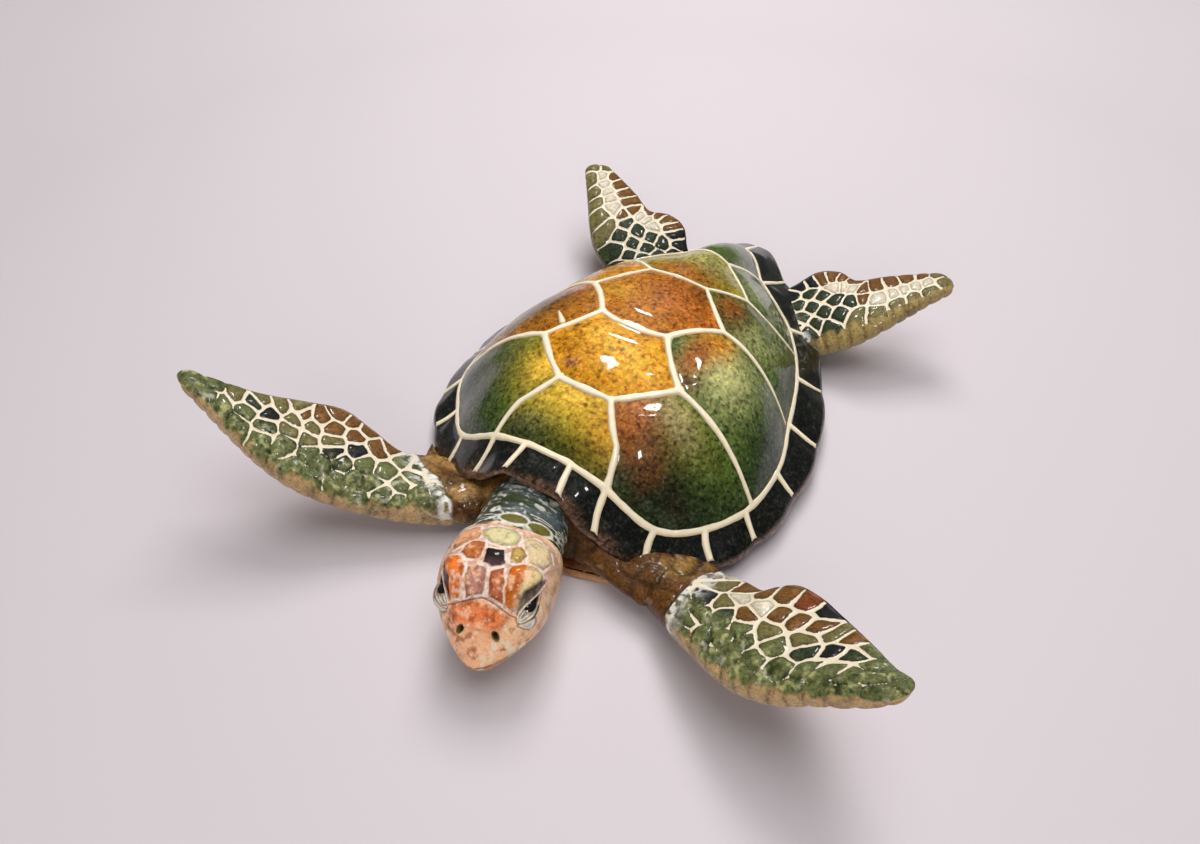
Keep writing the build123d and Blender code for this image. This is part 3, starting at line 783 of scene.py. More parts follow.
# %% List the spots
# For each scute: colour, plan place, reach across and along, strength
spots = {
    "V1": [
        (OLIVE, (0, -40), (22, 12), 1.0), (GOLD, (-2, -38), (12, 6), 0.8),
        (AMBER, (10, -41), (7, 9), 0.7), (LEAF, (-6, -49), (12, 5), 0.6),
        (SMOKE, (-9, -47), (7, 4), 0.5),
    ],
    "V2": [
        (AMBER, (0, -23), (30, 20), 1.0), (GOLD, (5, -24), (8, 5), 0.75),
        (RUST, (-9, -26), (7, 6), 0.35), (RUST, (5, -14), (10, 3.0), 0.4),
        (GOLD, (-5, -20), (6, 5), 0.5), (UMBER, (0, -35), (12, 2), 0.4),
        (srgb(142, 92, 66), (-6.5, -30.8), (2.6, 1.7), 0.99),
    ],
    "V3": [
        (srgb(172, 106, 12), (-3, 0), (28, 16), 1.0), (RUST, (6, 2), (11, 9), 0.97),
        (UMBER, (8, 7), (7, 4), 0.6), (GOLD, (-10, -4), (5, 4), 0.4),
        (RUST, (13, -2), (6, 5), 0.7),
    ],
    "V4": [
        (OLIVE, (0, 19), (24, 16), 1.0), (PALE_GREEN, (2, 21), (9, 6), 0.5),
        (RUST, (0, 12), (12, 5), 0.9), (UMBER, (6, 18), (7, 6), 0.5),
    ],
    "V5": [(LEAF, (0, 38), (20, 18), 1.0), (DEEP_GREEN, (0, 50), (14, 10), 0.6)],
    "C1L": [
        (LEAF, (28, -38), (26, 22), 1.0), (OLIVE, (21, -31), (9, 6), 0.8),
        (SMOKE, (23, -32), (6, 4), 0.6), (DEEP_GREEN, (27, -44), (19, 8), 0.95),
        (NIGHT, (25, -45), (15, 9), 0.85), (RUST, (13.5, -36), (9, 9), 0.99),
        (srgb(176, 112, 62), (13, -33), (5, 5), 0.7),
        (srgb(164, 156, 104), (21.0, -30), (5.5, 5), 0.8), (UMBER, (20, -38), (5, 6), 0.7),
    ],
    "C2L": [
        (LEAF, (30, -14), (24, 18), 1.0), (PALE_GREEN, (24, -13), (9, 11), 0.97),
        (AMBER, (19.5, -6.5), (5, 6), 0.9), (RUST, (17.5, -14), (4.6, 10), 0.95),
        (DEEP_GREEN, (40, -16), (7, 16), 0.8), (UMBER, (20, -21), (3.2, 4), 0.6),
    ],
    "C3L": [
        (LEAF, (30, 8), (24, 18), 1.0), (PALE_GREEN, (24, 4), (6, 7), 0.55),
        (UMBER, (17, 6), (6, 9), 0.9), (RUST, (15, 9), (4, 5), 0.6),
        (DEEP_GREEN, (36, 8), (6, 14), 0.5),
    ],
    "C4L": [
        (LEAF, (20, 28), (24, 20), 1.0), (PALE_GREEN, (16, 24), (7, 7), 0.3),
        (UMBER, (10, 18), (5, 5), 0.6), (DEEP_GREEN, (24, 30), (8, 12), 0.5),
    ],
    "C1R": [
        (LEAF, (-24, -34), (26, 22), 1.0), (OLIVE, (-16, -30), (11, 10), 0.95),
        (GOLD, (-12, -32), (6, 8), 0.95), (DEEP_GREEN, (-32, -40), (13, 13), 0.9),
        (NIGHT, (-38, -34), (7, 12), 0.8),
    ],
    "C2R": [
        (srgb(172, 108, 18), (-20, -13), (18, 14), 1.0),
        (srgb(118, 70, 22), (-25, -13), (9, 10), 0.9), (UMBER, (-29, -14), (7, 10), 0.92),
        (LEAF, (-35, -12), (9, 16), 0.97),
    ],
    "C3R": [
        (AMBER, (-18, 6), (16, 14), 1.0), (LEAF, (-32, 8), (12, 16), 0.95),
        (RUST, (-15, 8), (6, 6), 0.5),
    ],
    "C4R": [(LEAF, (-18, 26), (24, 20), 1.0), (DEEP_GREEN, (-24, 30), (8, 12), 0.5)],
}
print(sum(map(len, spots.values())), "spots on", len(spots), "scutes")

# %% [markdown]
# ## The colours on the shell
#
# A spot of full strength fills its scute, and the others fade out as a bell curve. Noise
# bends their edges, as a sponge does. The dark rim goes over them, then the brown of the
# bare lip, and a last round of small dark and light dots covers everything.

# %% Lay the colours on the shell
SPOT_FALL = 1.4
flat_points = top_points.reshape(-1, 3)
x, y = flat_points[:, 0], flat_points[:, 1]
angle, distance = polar(x, y)
edge_share = distance / smooth(edge_angle, edge_reach, angle)
shell_paint = np.tile(LEAF, (len(x), 1))
wobble = 1 + 0.30 * layered(flat_points, 7.0, 21)
for scute, marks in spots.items():
    within = inside(scutes[scute], x, y)
    for color, place, reach_xy, strength in marks:
        spread = np.hypot((x - place[0]) / reach_xy[0], (y - place[1]) / reach_xy[1]) * wobble
        share = 1.0 if strength == 1.0 else strength * np.exp(-SPOT_FALL * spread**2)
        shell_paint = mix(shell_paint, color, share * within)

# The edge of the dome darkens, and the small scutes of the rim are nearly black
shell_paint = mix(shell_paint, DEEP_GREEN, 0.75 * step(0.80, 1.0, edge_share * wobble**0.3))
green_patches = 0.6 * step(0.1, 0.8, layered(flat_points, 9.0, 33))
marginal = mix(np.tile(NIGHT, (len(x), 1)), DEEP_GREEN, green_patches)
shell_paint = mix(shell_paint, marginal, step(0.995, 1.01, edge_share))
# The lip and the underside are bare brown, and in front the brown comes over the lip
tan_edge = np.repeat(step(0.02, 0.4, drop / WALL), ROUND_COUNT)
front_lip = step(0.94, 1.0, distance / rim_outline(angle)) * step(0.75, 0.35, angle)
front_lip = 0.8 * front_lip * step(-0.4, 0.3, layered(flat_points, 5.0, 34))
shell_paint = mix(shell_paint, FLESH * 0.6, np.maximum(tan_edge, front_lip))
dots = layered(flat_points, 1.3, 41)
shell_paint = mix(shell_paint, shell_paint * 0.40, 0.7 * step(0.12, 0.5, -dots))
shell_paint = mix(shell_paint, shell_paint * 1.45 + 0.012, 0.75 * step(0.10, 0.5, dots))

shell_glaze = paint_material(
    "shell_glaze", grain=950.0, dark=0.85, light=0.80, rough=0.38, coat=0.85, bump=0.10,
)
pole_paint = np.concatenate([shell_paint, shell_paint[:1], shell_paint[-1:]])
make_piece("shell", shell_points, shell_faces, shell_glaze, ["carapace"], pole_paint)

# %% [markdown]
# ## The piped seams
#
# The cords are a second, finer polar grid, kept only near the seams. Its height over the
# shell is 1 - ratio cubed, so it dips below the glaze at the edge of a seam, and the
# visible edge is the clean line where two smooth surfaces cross.

# %% Make the raised seams
SEAM_HEIGHT, SEAM_ROOT = 0.40, 0.8
SEAM_ROUND, SEAM_ROWS = 1110, 246

angles = np.linspace(-np.pi, np.pi, SEAM_ROUND, endpoint=False)
share = np.linspace(0.04, 0.995, SEAM_ROWS)
out = share[:, None] * (rim_outline(angles) - 0.4 * lip)
plan = np.stack([out * np.sin(angles), CROWN_Y - out * np.cos(angles)], -1)
cord_points = np.concatenate([plan, roof(plan[..., 0], plan[..., 1])[..., None]], -1).reshape(-1, 3)
gap, ratio = seam_field(cord_points)
ratio = ratio * (1 + 0.20 * noise(cord_points, 2.6, 3))
ground = shell_relief(cord_points, gap)
rise = SEAM_HEIGHT * (1 - np.minimum(ratio, 1.6) ** 3) + 0.03 * noise(cord_points, 1.6, 7)
faces = grid_faces(SEAM_ROWS, SEAM_ROUND)
keep = faces[(ratio[faces] < 1.25).any(1)]
used, packed = np.unique(keep, return_inverse=True)
quads = packed.reshape(-1, 4)
upper = cord_points[used] + (ground + rise)[used][:, None] * (0, 0, 1)
lower = cord_points[used] + (ground - SEAM_ROOT)[used][:, None] * (0, 0, 1)
# An edge that no other quad walks the other way is on the border, and gets a wall
edges = np.concatenate([quads[:, [i, (i + 1) % 4]] for i in range(4)])
code = edges[:, 0] * len(used) + edges[:, 1]
back = edges[:, 1] * len(used) + edges[:, 0]
border = edges[~np.isin(code, back)]
count = len(used)
walls = np.stack([border[:, 1], border[:, 0], border[:, 0] + count, border[:, 1] + count], -1)
all_faces = np.concatenate([quads, quads[:, ::-1] + count, walls])
CREAM, CREAM_IN_SHADE = srgb(244, 232, 204), srgb(196, 172, 132)
# Painted shade: the cord darkens on its flanks, and its hidden underside takes the same colour
cord_paint = mix(np.tile(CREAM, (count, 1)), CREAM_IN_SHADE, 0.8 * step(0.45, 0.95, ratio[used]))
cord_paint = np.concatenate([cord_paint, np.tile(CREAM_IN_SHADE, (count, 1))])
seam_line = paint_material(
    "seam_line", grain=500.0, dark=0.10, light=0.15, rough=0.34, coat=0.8, bump=0.12,
)
cords = np.concatenate([upper, lower])
make_piece(
    "piped_seams", cords, all_faces.tolist(), seam_line, ["scute_lines"], cord_paint,
)

# %% [markdown]
# ## The flippers
#
# A flipper is thick and rounded along its leading edge and thins to a blade behind, like a
# wing. Each one is a row of sections between two given edge lines, so it rises and twists
# where the photograph shows it. A box bent to shape would need far more work to get the
# same thin, even edge.

# %% Shape a flipper
def wing(share):
    """Half thickness along the chord, 0.5 at its fullest: a square root of the share, which
    is blunt in front, less a polynomial of fourth degree that closes it behind."""
    tail = 0.126 * share + 0.3516 * share**2 - 0.2843 * share**3 + 0.1015 * share**4
    return 5 * (0.2969 * np.sqrt(share) - tail)


TIP_ROWS, TIP_ROUNDING = 14, 2.6
UNDER_FULLNESS, LEAST_HALF = 0.8, 0.02


def flipper_grid(rows, along_count, round_count, mirror=1):
    """Grid of a flipper, its tip closed by a quarter circle. With it come the share along
    it, the share of the chord from the leading edge, which side is up, its length and
    chords in millimetres, and the normal of each section."""
    lead = np.array([row[0] for row in rows], float) * (mirror, 1, 1)
    trail = np.array([row[1] for row in rows], float) * (mirror, 1, 1)
    middle = (lead + trail) / 2
    knots = np.concatenate([[0], np.cumsum(np.linalg.norm(np.diff(middle, axis=0), axis=1))])
    tip_turn = np.linspace(0, np.pi / 2, TIP_ROWS + 1)[1:] * 0.98
    body_end = knots[-1] - TIP_ROUNDING
    body_s = np.linspace(0, body_end, along_count - TIP_ROWS)
    s = np.concatenate([body_s, body_end + TIP_ROUNDING * np.sin(tip_turn)])
    shrink = np.concatenate([np.ones(along_count - TIP_ROWS), np.cos(tip_turn)])
    lead, trail = smooth(knots, lead, s), smooth(knots, trail, s)
    chord = np.linalg.norm(trail - lead, axis=1)
    inward = ((1 - shrink) / 2)[:, None] * (trail - lead)
    lead, trail = lead + inward, trail - inward
    thick = smooth(knots, np.array([row[2] for row in rows]), s) * shrink
    across = (trail - lead) / (chord * shrink)[:, None]
    normal = np.cross(across, np.gradient((lead + trail) / 2, s, axis=0))
    normal *= np.sign(normal[:, 2:3]) / np.linalg.norm(normal, axis=1)[:, None]
    v = np.linspace(0, 1, round_count, endpoint=False)
    c = (1 - np.cos(2 * np.pi * v)) / 2
    upper = v < 0.5
    half = np.where(upper, wing(c) + LEAST_HALF, -UNDER_FULLNESS * wing(c) - LEAST_HALF)
    grid = lead[:, None] + c[None, :, None] * (trail - lead)[:, None]
    grid = grid + normal[:, None] * (thick[:, None] * half)[..., None]
    return grid, s / knots[-1], c, upper, knots[-1], chord, normal


fullest = 2 * wing(np.linspace(0, 1, 201)).max()
print("a wing is", round(float(fullest), 2), "of its thickness at its fullest")

# %% [markdown]
# ## Loose skin
#
# Where a flipper joins the body the casting has no scales, only folded brown skin. It is
# painted dark in the creases, as painted shade, and ochre on the lumps, as a painted
# highlight. The creases run where a noise crosses zero, which gives long bent lines that
# fork, as folds do.

# %% Fold the skin and paint its shade and highlights
BARK, OCHRE = srgb(94, 60, 26), srgb(156, 120, 66)
SHADE_AND_SEAM_BROWN, CHALK = srgb(38, 22, 12), srgb(204, 178, 140)


def loose_skin(points):
    """Relief in millimetres and colour: creases are 1 - |noise|, sharpest where the noise
    is zero, at two sizes, and lumps are layered noise."""
    stretched = points * (1.0, 1.0, 0.55)
    creases = 1 - np.abs(noise(stretched, 5.2, 31)) * 2.2
    fine_creases = 1 - np.abs(noise(stretched, 2.1, 32)) * 2.4
    lumps = layered(points, 4.5, 33)
    relief = 0.45 * lumps - 0.26 * step(0.5, 1.0, creases) - 0.16 * step(0.4, 1.0, fine_creases)
    # Painted highlight: ochre on the lumps, and on more of the right side
    ochre_highlight = step(-0.1, 0.6, lumps + 0.35 * (points[:, 0] < 0))
    color = mix(np.tile(BARK, (len(points), 1)), OCHRE, ochre_highlight)
    # Painted shade: dark in the creases
    color = mix(color, SHADE_AND_SEAM_BROWN, 0.60 * step(0.35, 1.0, creases) + 0.35 * step(0.4, 1.0, fine_creases))
    # Painted shade: darker round the root of the neck, under the shell's front
    neck_root_shade = np.exp(-((np.hypot(points[:, 0] - 12.0, points[:, 1] + 62.0) / 9.0) ** 2))
    color = mix(color, SHADE_AND_SEAM_BROWN, 0.75 * neck_root_shade * step(-0.6, 0.4, layered(points, 3.0, 36)))
    chalky = 0.45 * step(0.2, 0.6, layered(points, 2.6, 35)) * step(10.0, 6.0, points[:, 2])
    return relief, mix(color, CHALK, chalky)


print("skin in four washes:", BARK.round(2), OCHRE.round(2), SHADE_AND_SEAM_BROWN.round(2), CHALK.round(2))

# %% [markdown]
# ## The scales of a flipper
#
# The scales in the middle are olive, brown and black with cream lines. Along the leading
# edge they are larger, mossy and only thinly outlined. They are scattered seeds: every point
# belongs to the nearest seed and has its colour, and the lines run where two seeds are
# equally near. Two sizes of noise shake the places first, so that no line is straight.

# %% Find each point's scale
SCALE_COLORS = {
    "moss": srgb(98, 104, 62), "dark": srgb(44, 54, 36), "olive": srgb(112, 104, 62),
    "brown": srgb(112, 76, 36), "rust": srgb(118, 62, 30), "black": srgb(26, 28, 30),
    "white": srgb(214, 204, 184),
}
CORNER_ROUNDING = 0.22


def cell_field(places, seeds):
    """Nearest seed of each place, and the distance to the line halfway to a neighbour:
    (b squared - a squared) / (2 * the distance of the two seeds). The lines to the next
    three seeds are joined by a soft minimum, -r * log(sum of exp(-d / r)), which rounds
    the corners."""
    gaps = ((places[:, None, :] - seeds[None]) ** 2).sum(-1)
    order = np.argsort(gaps, axis=1)[:, :4]
    first = order[:, 0]
    a = np.take_along_axis(gaps, order[:, :1], 1)
    b = np.take_along_axis(gaps, order[:, 1:], 1)
    apart = np.linalg.norm(seeds[order[:, 1:]] - seeds[first][:, None], axis=-1)
    to_border = (b - a) / (2 * apart)
    soft_least = -CORNER_ROUNDING * np.log(np.exp(-to_border / CORNER_ROUNDING).sum(1))
    return first, soft_least


def nearest_scale(flat, cells, s, c, length, chord):
    """Colour of the scale at each point, the distance to the scale's border, and the
    shaken place along and across the flipper, in millimetres."""
    seeds = np.array([place for places in cells.values() for place in places])
    kinds = np.array([SCALE_COLORS[kind] for kind, places in cells.items() for _ in places])
    seeds = np.stack([seeds[:, 0] * length, seeds[:, 1] * np.interp(seeds[:, 0], s, chord)], -1)
    warp = 0.55 * np.stack([noise(flat, 5.0, 51), noise(flat, 5.0, 52)], -1)
    warp += 0.22 * np.stack([noise(flat, 1.7, 53), noise(flat, 1.7, 54)], -1)
    along, across = np.broadcast_arrays(s[:, None] * length, c[None] * chord[:, None])
    places = np.stack([along, across], -1).reshape(-1, 2) + warp
    first, border = cell_field(places, seeds)
    return kinds[first], border, places


def flipper_zones(flat, lengthwise, across, top, length, look):
    """Shares of each point in the zones of a flipper, and how far it is past the bare skin:
    the skin, the crust of dabbed white beyond it, the mossy band, and the tip."""
    bare_lead, bare_trail, band = look[:3]
    past_skin = (lengthwise - bare_lead - (bare_trail - bare_lead) * across) * length
    past_skin = past_skin + 0.9 * noise(flat, 3.0, 56)
    bare = step(0.5, -0.5, past_skin)
    crust = step(8.5, 1.0, past_skin + 1.6 * noise(flat, 2.5, 58))
    crust = crust * step(-0.9, 0.2, past_skin) * top
    tip = step(0.80, 0.90, lengthwise + 0.03 * noise(flat, 2.5, 55)) * (band > 0)
    moss = step(band + 0.10, band - 0.05, across + 0.03 * noise(flat, 2.5, 59))
    return past_skin, bare, crust, np.maximum(moss, tip), tip


print(len(SCALE_COLORS), "colours of scales")

# %% [markdown]
# ## Carving a flipper
#
# On the real piece every scale is a low cushion, highest in its middle and steep at its
# border, and the underside has grooves across it. An exponential of the distance to the
# border gives that profile without a table. The relief is laid on along the surface's own
# normals, because a flipper twists and so faces many ways.

# %% Carve the scales
CUSHION, GROOVE_DEPTH, GROOVE_SPACING = 0.40, 0.40, 3.6


def groove_distance(flat, places):
    """Distance to the nearest groove of the underside, in millimetres."""
    phase = places[:, 0] / GROOVE_SPACING + 0.10 * noise(flat, 6.0, 71)
    return np.abs(phase % 1 - 0.5) * GROOVE_SPACING


def scale_relief(flat, top, across, border, bands, moss, crust, grains):
    """Height in millimetres: 1 - exp(-distance / width) of the border above and of the
    grooves below, fading out at both edges of the flipper, with grain on top."""
    rounded = 1 - np.exp(-np.maximum(border - 0.1, 0) / 0.6)
    groove = (1 - np.exp(-bands / 0.45)) * step(0.9, 0.5, across)
    in_from_edge = step(0.0, 0.03, across)
    above = (CUSHION + 0.15 * moss) * rounded * in_from_edge * step(1.0, 0.95, across)
    relief = np.where(top, above, GROOVE_DEPTH * groove * in_from_edge)
    return relief + (0.05 + 0.11 * moss * top) * grains - 0.12 * crust * noise(flat, 1.4, 63)


def carve_along_normals(grid, normal, relief):
    """The grid moved outward by the relief; normal tells which way is outward."""
    outward = np.cross(np.roll(grid, -1, 1) - np.roll(grid, 1, 1), np.gradient(grid, axis=0))
    outward /= np.linalg.norm(outward, axis=-1)[..., None] + 1e-9
    turn = np.sign((outward[:, grid.shape[1] // 4] * normal).sum(-1)).mean()
    return grid + outward * turn * relief.reshape(grid.shape[:2])[..., None]


print("scales stand", CUSHION, "mm over their borders")

# %% [markdown]
# ## Painting a flipper
#
# Each scale is darkened towards its border, as painted shade where it dips into its line.
# The painter dabbed moss along the leading edge, washed the underside in tan and stippled
# white paint over the shoulder, and the grooves of the underside get painted shade too.
# The code lays the same layers in the same order, each as a colour and a share for every
# point.

# %% Paint the scales
LINE_CREAM = srgb(230, 216, 190)
MOSS_LIGHT, MOSS_DARK, MOSS_PALE = srgb(172, 172, 116), srgb(30, 40, 18), srgb(196, 194, 172)
CRUST_WHITE, CRUST_GREY = srgb(224, 222, 214), srgb(92, 98, 100)
TAN, TAN_SHADE = srgb(180, 150, 106), srgb(88, 62, 34)
HIND_TAN = srgb(160, 138, 84)


def paint_scales(flat, color, past_line, moss, grains):
    """Scales mottled with lighter dabs and darkened towards their lines as painted shade, and the
    moss.
    """
    border_shade = np.exp(-np.maximum(past_line, 0) / 0.40)
    mottled = 0.75 * step(0.05, 0.6, layered(flat, 1.9, 91)) * (1 - border_shade)
    color = mix(color, color * 1.7 + 0.012, mottled)
    # Painted shade: each scale darker towards its border
    color = mix(color, color * 0.30, 0.80 * border_shade)
    dark_dabs = 0.8 * step(0.05, 0.5, -layered(flat, 1.3, 94)) + 0.5 * border_shade
    pale_dabs = step(0.15, 0.5, layered(flat, 2.6, 96)) * step(-0.1, 0.3, layered(flat, 0.9, 98))
    mossy = painted(
        np.tile(SCALE_COLORS["moss"], (len(flat), 1)),
        (MOSS_LIGHT, 0.85 * step(0.05, 0.45, grains)),
        (MOSS_DARK, dark_dabs),
        (MOSS_PALE, 0.7 * pale_dabs),
    )
    return mix(color, mossy, 0.92 * moss)


def paint_underside(flat, tone, bands, across):
    """Tan, with painted shade in the grooves and a darker wash in patches."""
    # Painted shade: the grooves are darkened
    groove_shade = np.exp(-bands / 0.36) * step(0.8, 0.4, across) * step(-0.8, 0.4, noise(flat, 2.4, 72))
    return painted(
        np.tile(tone, (len(flat), 1)),
        (TAN_SHADE * 0.6, 0.7 * groove_shade),
        (TAN_SHADE, 0.5 * step(0.1, 0.6, layered(flat, 3.2, 97))),
    )


def crust_layers(flat, crust, past_skin, moss, top, has_rim):
    """White paint over the shoulder: a grey ground, veins that run where a noise crosses
    zero, and a rim of white beside the bare skin."""
    veins = 1 - np.abs(noise(flat, 2.3, 57)) * 3.2 + 0.7 * noise(flat, 0.8, 64)
    ground = crust * step(7.0, 3.5, past_skin) * (1 - 0.5 * moss)
    veined = crust * step(0.22, 0.40, veins) * step(9.0, 4.0, past_skin) * (1 - 0.6 * moss)
    beside_skin = step(3.2, 1.4, past_skin) * step(-0.7, 0.0, past_skin) * top * has_rim
    stippled = beside_skin * step(-0.12, 0.06, noise(flat, 0.9, 65))
    return (
        (CRUST_GREY * 0.25, 0.75 * ground), (CRUST_WHITE, 0.9 * veined),
        (CRUST_WHITE, 0.95 * stippled),
    )


print("lines in", LINE_CREAM.round(2))

# %% [markdown]
# ## A whole flipper
#
# The steps above make one flipper from its two edge lines, its seeds and six numbers for its
# look. The front flippers have a table each, since the photograph shows both well. The
# rear ones share a table that is mirrored, since the right one is seen nearly end on.

# %% Put a flipper together
skin_paint = paint_material(
    "skin_paint", grain=1500.0, dark=0.55, light=0.45, rough=0.36, coat=0.5, bump=0.35,
    line=LINE_CREAM, waver=0.45,
)


def make_flipper(name, node, rows, cells, look, mirror=1, along=250, around=200):
    """A flipper with carved scales. look gives where the bare skin ends at the leading edge
    and at the trailing edge, as shares of the length, then the width of the mossy band and
    of the tan edge as shares of the chord, the half width of the cream lines in
    millimetres, and the colour of the underside."""
    bare_lead, _, _, tan_width, line_width, belly_tone = look
    grid, s, c, upper, length, chord, normal = flipper_grid(rows, along, around, mirror)
    flat = grid.reshape(-1, 3)
    color, border, places = nearest_scale(flat, cells, s, c, length, chord)
    across, top, lengthwise = np.tile(c, along), np.tile(upper, along), np.repeat(s, around)
    zones = flipper_zones(flat, lengthwise, across, top, length, look)
    past_skin, bare, crust, moss, tip = zones
    grains = layered(flat, 1.1, 62)
    bands = groove_distance(flat, places)

    skin_relief, skin_color = loose_skin(flat)
    relief = scale_relief(flat, top, across, border, bands, moss, crust, grains)
    relief = relief * (1 - bare) + 0.7 * bare * skin_relief
    points, faces = closed_tube(carve_along_normals(grid, normal, relief))

    mossy_line = 0.36 * step(-0.05, 0.45, layered(flat, 5.0, 61)) * (1 - 0.6 * tip) - 0.10
    half_line = line_width * (1 + 0.55 * noise(flat, 3.2, 60))
    half_line = half_line + 0.24 * crust * (1 + noise(flat, 1.1, 66))
    half_line = half_line * (1 - moss) + moss * mossy_line
    frayed = across + 0.04 * noise(flat, 3.0, 99) + 0.05 * noise(flat, 1.2, 100)
    below = np.where(top, step(tan_width + 0.03, tan_width - 0.04, frayed), 1.0)
    color = paint_scales(flat, color, border - half_line, moss, grains)
    color = mix(color, paint_underside(flat, belly_tone, bands, across), below)
    color = painted(color, *crust_layers(flat, crust, past_skin, moss, top, bare_lead > 0))
    color = mix(color, skin_color, bare)

    lined = top & (frayed > tan_width * 0.9) & (across < 0.985)
    line = np.where(lined, border - half_line + 3 * bare, 1.0) + 2 * step(0.97, 0.99, lengthwise)
    values = {"line": np.concatenate([line, [1.0, 1.0]])}
    color = np.concatenate([color, color[:1], color[-1:]])
    make_piece(name, points, faces, skin_paint, [node], color, values)


print("flippers wear", skin_paint.name)

# %% [markdown]
# ## The edges of the flippers
#
# The front flippers sweep out and up from the shoulders, the left one bent at its elbow,
# and the rear ones reach back and up from the hips. The tables were read off the photograph
# through the solved camera. Its one view can't give heights, so these were chosen to make
# the two front flippers equally long.

# %% List the edges
# Each row: a place on the leading edge, one on the trailing edge, and the thickness
front_left_rows = [
    ((24, -57.0, 4.6), (36, -44, 5.0), 8.0), ((30.5, -61.3, 5.2), (43, -46.5, 5.6), 8.6),
    ((38.5, -65.7, 7.5), (50, -48.3, 9), 8.6), ((45, -69.3, 10.2), (54.6, -50.4, 12.6), 8.2),
    ((52, -73.0, 12.8), (59.5, -48.9, 17), 7.6), ((58.5, -75.3, 15.4), (65, -51, 20.5), 7.0),
    ((65.5, -75.6, 19), (71.5, -55.8, 24.5), 6.0), ((72, -74, 23.2), (77.6, -60.8, 28.5), 4.8),
    ((78.5, -72.6, 27.4), (82.6, -64.6, 31), 4.0), ((84.2, -70.4, 30.6), (86.0, -66.0, 32.8), 3.0),
]
front_right_rows = [
    ((-8, -60.5, 5.0), (-22, -50, 5.6), 8.4), ((-15.5, -67, 6.0), (-30, -53.5, 6.6), 9.2),
    ((-26, -74.3, 8.0), (-37.5, -59.6, 10), 9.0), ((-35.6, -79.8, 11), (-45, -60.4, 14), 8.4),
    ((-45.5, -84.6, 16.3), (-53, -61.2, 17.6), 7.4), ((-54, -85.9, 21), (-58.5, -65.8, 21.2), 6.4),
    ((-62, -85.5, 25.4), (-65.5, -72.3, 25.8), 5.2),
    ((-69.5, -84.6, 29.3), (-72, -76.6, 29.6), 4.0),
    ((-75.4, -83.9, 32), (-76.6, -79.2, 32), 3.2), ((-78.6, -83.0, 33), (-78.9, -80.2, 32.9), 2.4),
]
hind_rows = [
    ((27, 27, 5.0), (12, 46, 7.0), 7.0), ((34, 31.5, 6.8), (18, 51.5, 11), 7.6),
    ((38.5, 33.2, 9.0), (22.5, 57.0, 14), 7.6), ((43, 35.8, 12), (28.5, 58.3, 15.6), 7.2),
    ((47, 40.2, 14.6), (34, 55.6, 16.6), 6.2), ((51.8, 46.8, 17.6), (41, 58.8, 18.6), 5.2),
    ((55.4, 51.8, 20), (48.2, 61.4, 20.6), 4.2), ((58.2, 55.6, 21.4), (52.4, 62.6, 21.8), 3.8),
    ((60.0, 58.0, 22), (55.4, 63.8, 22.2), 3.2),
]
print(len(front_left_rows), len(front_right_rows), len(hind_rows), "sections")

# %% [markdown]
# ## The scales, one by one
#
# In the middle of the front flippers these are the real scales, one seed for each. In the
# moss and on the rear flippers they follow only how dense the real ones are.

# %% Scatter the scales
# Middles of the scales by colour, as the share along the flipper and the share of the chord
front_left_cells = {
    "olive": [(0.25, 0.68), (0.37, 0.54), (0.67, 0.59), (0.72, 0.81), (0.56, 0.49)],
    "black": [(0.29, 0.42), (0.35, 0.28), (0.64, 0.93), (0.76, 0.62)],
    "dark": [
        (0.42, 0.38), (0.35, 0.17), (0.71, 0.50), (0.81, 0.73), (0.95, 0.34), (0.89, 0.12),
        (0.20, 0.30), (0.14, 0.60),
    ],
    "white": [(0.38, 0.69), (0.48, 0.61), (0.27, 0.25), (0.18, 0.74)],
    "brown": [
        (0.41, 0.83), (0.47, 0.49), (0.49, 0.85), (0.55, 0.64), (0.61, 0.70), (0.66, 0.76),
        (0.77, 0.91), (0.32, 0.88),
    ],
    "rust": [(0.57, 0.88)],
    "moss": [
        (0.49, 0.40), (0.42, 0.14), (0.46, 0.24), (0.53, 0.34), (0.61, 0.41), (0.52, 0.18),
        (0.59, 0.25), (0.69, 0.28), (0.75, 0.36), (0.81, 0.38), (0.86, 0.45), (0.88, 0.80),
        (0.58, 0.09), (0.66, 0.08), (0.75, 0.10), (0.82, 0.12), (0.97, 0.71), (0.83, 0.91),
        (0.36, 0.05), (0.47, 0.04), (0.93, 0.70),
    ],
}
front_right_cells = {
    "olive": [
        (0.83, 0.78), (0.77, 0.84), (0.71, 0.77), (0.66, 0.61), (0.65, 0.46), (0.59, 0.61),
        (0.58, 0.44), (0.52, 0.52), (0.22, 0.21), (0.66, 0.84),
    ],
    "dark": [(0.78, 0.70), (0.70, 0.36), (0.12, 0.40), (0.14, 0.75)],
    "black": [(0.72, 0.58), (0.50, 0.41), (0.43, 0.58), (0.51, 0.27), (0.46, 0.34)],
    "brown": [
        (0.64, 0.77), (0.59, 0.77), (0.53, 0.69), (0.45, 0.74), (0.54, 0.95), (0.42, 0.96),
        (0.37, 0.76), (0.32, 0.91), (0.48, 0.94),
    ],
    "moss": [
        (0.56, 0.31), (0.40, 0.45), (0.33, 0.47), (0.28, 0.76), (0.22, 0.67), (0.28, 0.33),
        (0.41, 0.24), (0.36, 0.27), (0.46, 0.16), (0.58, 0.12), (0.63, 0.26), (0.69, 0.18),
        (0.77, 0.18), (0.84, 0.32), (0.89, 0.33), (0.95, 0.44), (0.52, 0.09), (0.78, 0.49),
        (0.33, 0.16), (0.40, 0.09), (0.24, 0.47), (0.29, 0.08), (0.90, 0.75),
    ],
    "white": [(0.18, 0.54), (0.17, 0.27)],
}
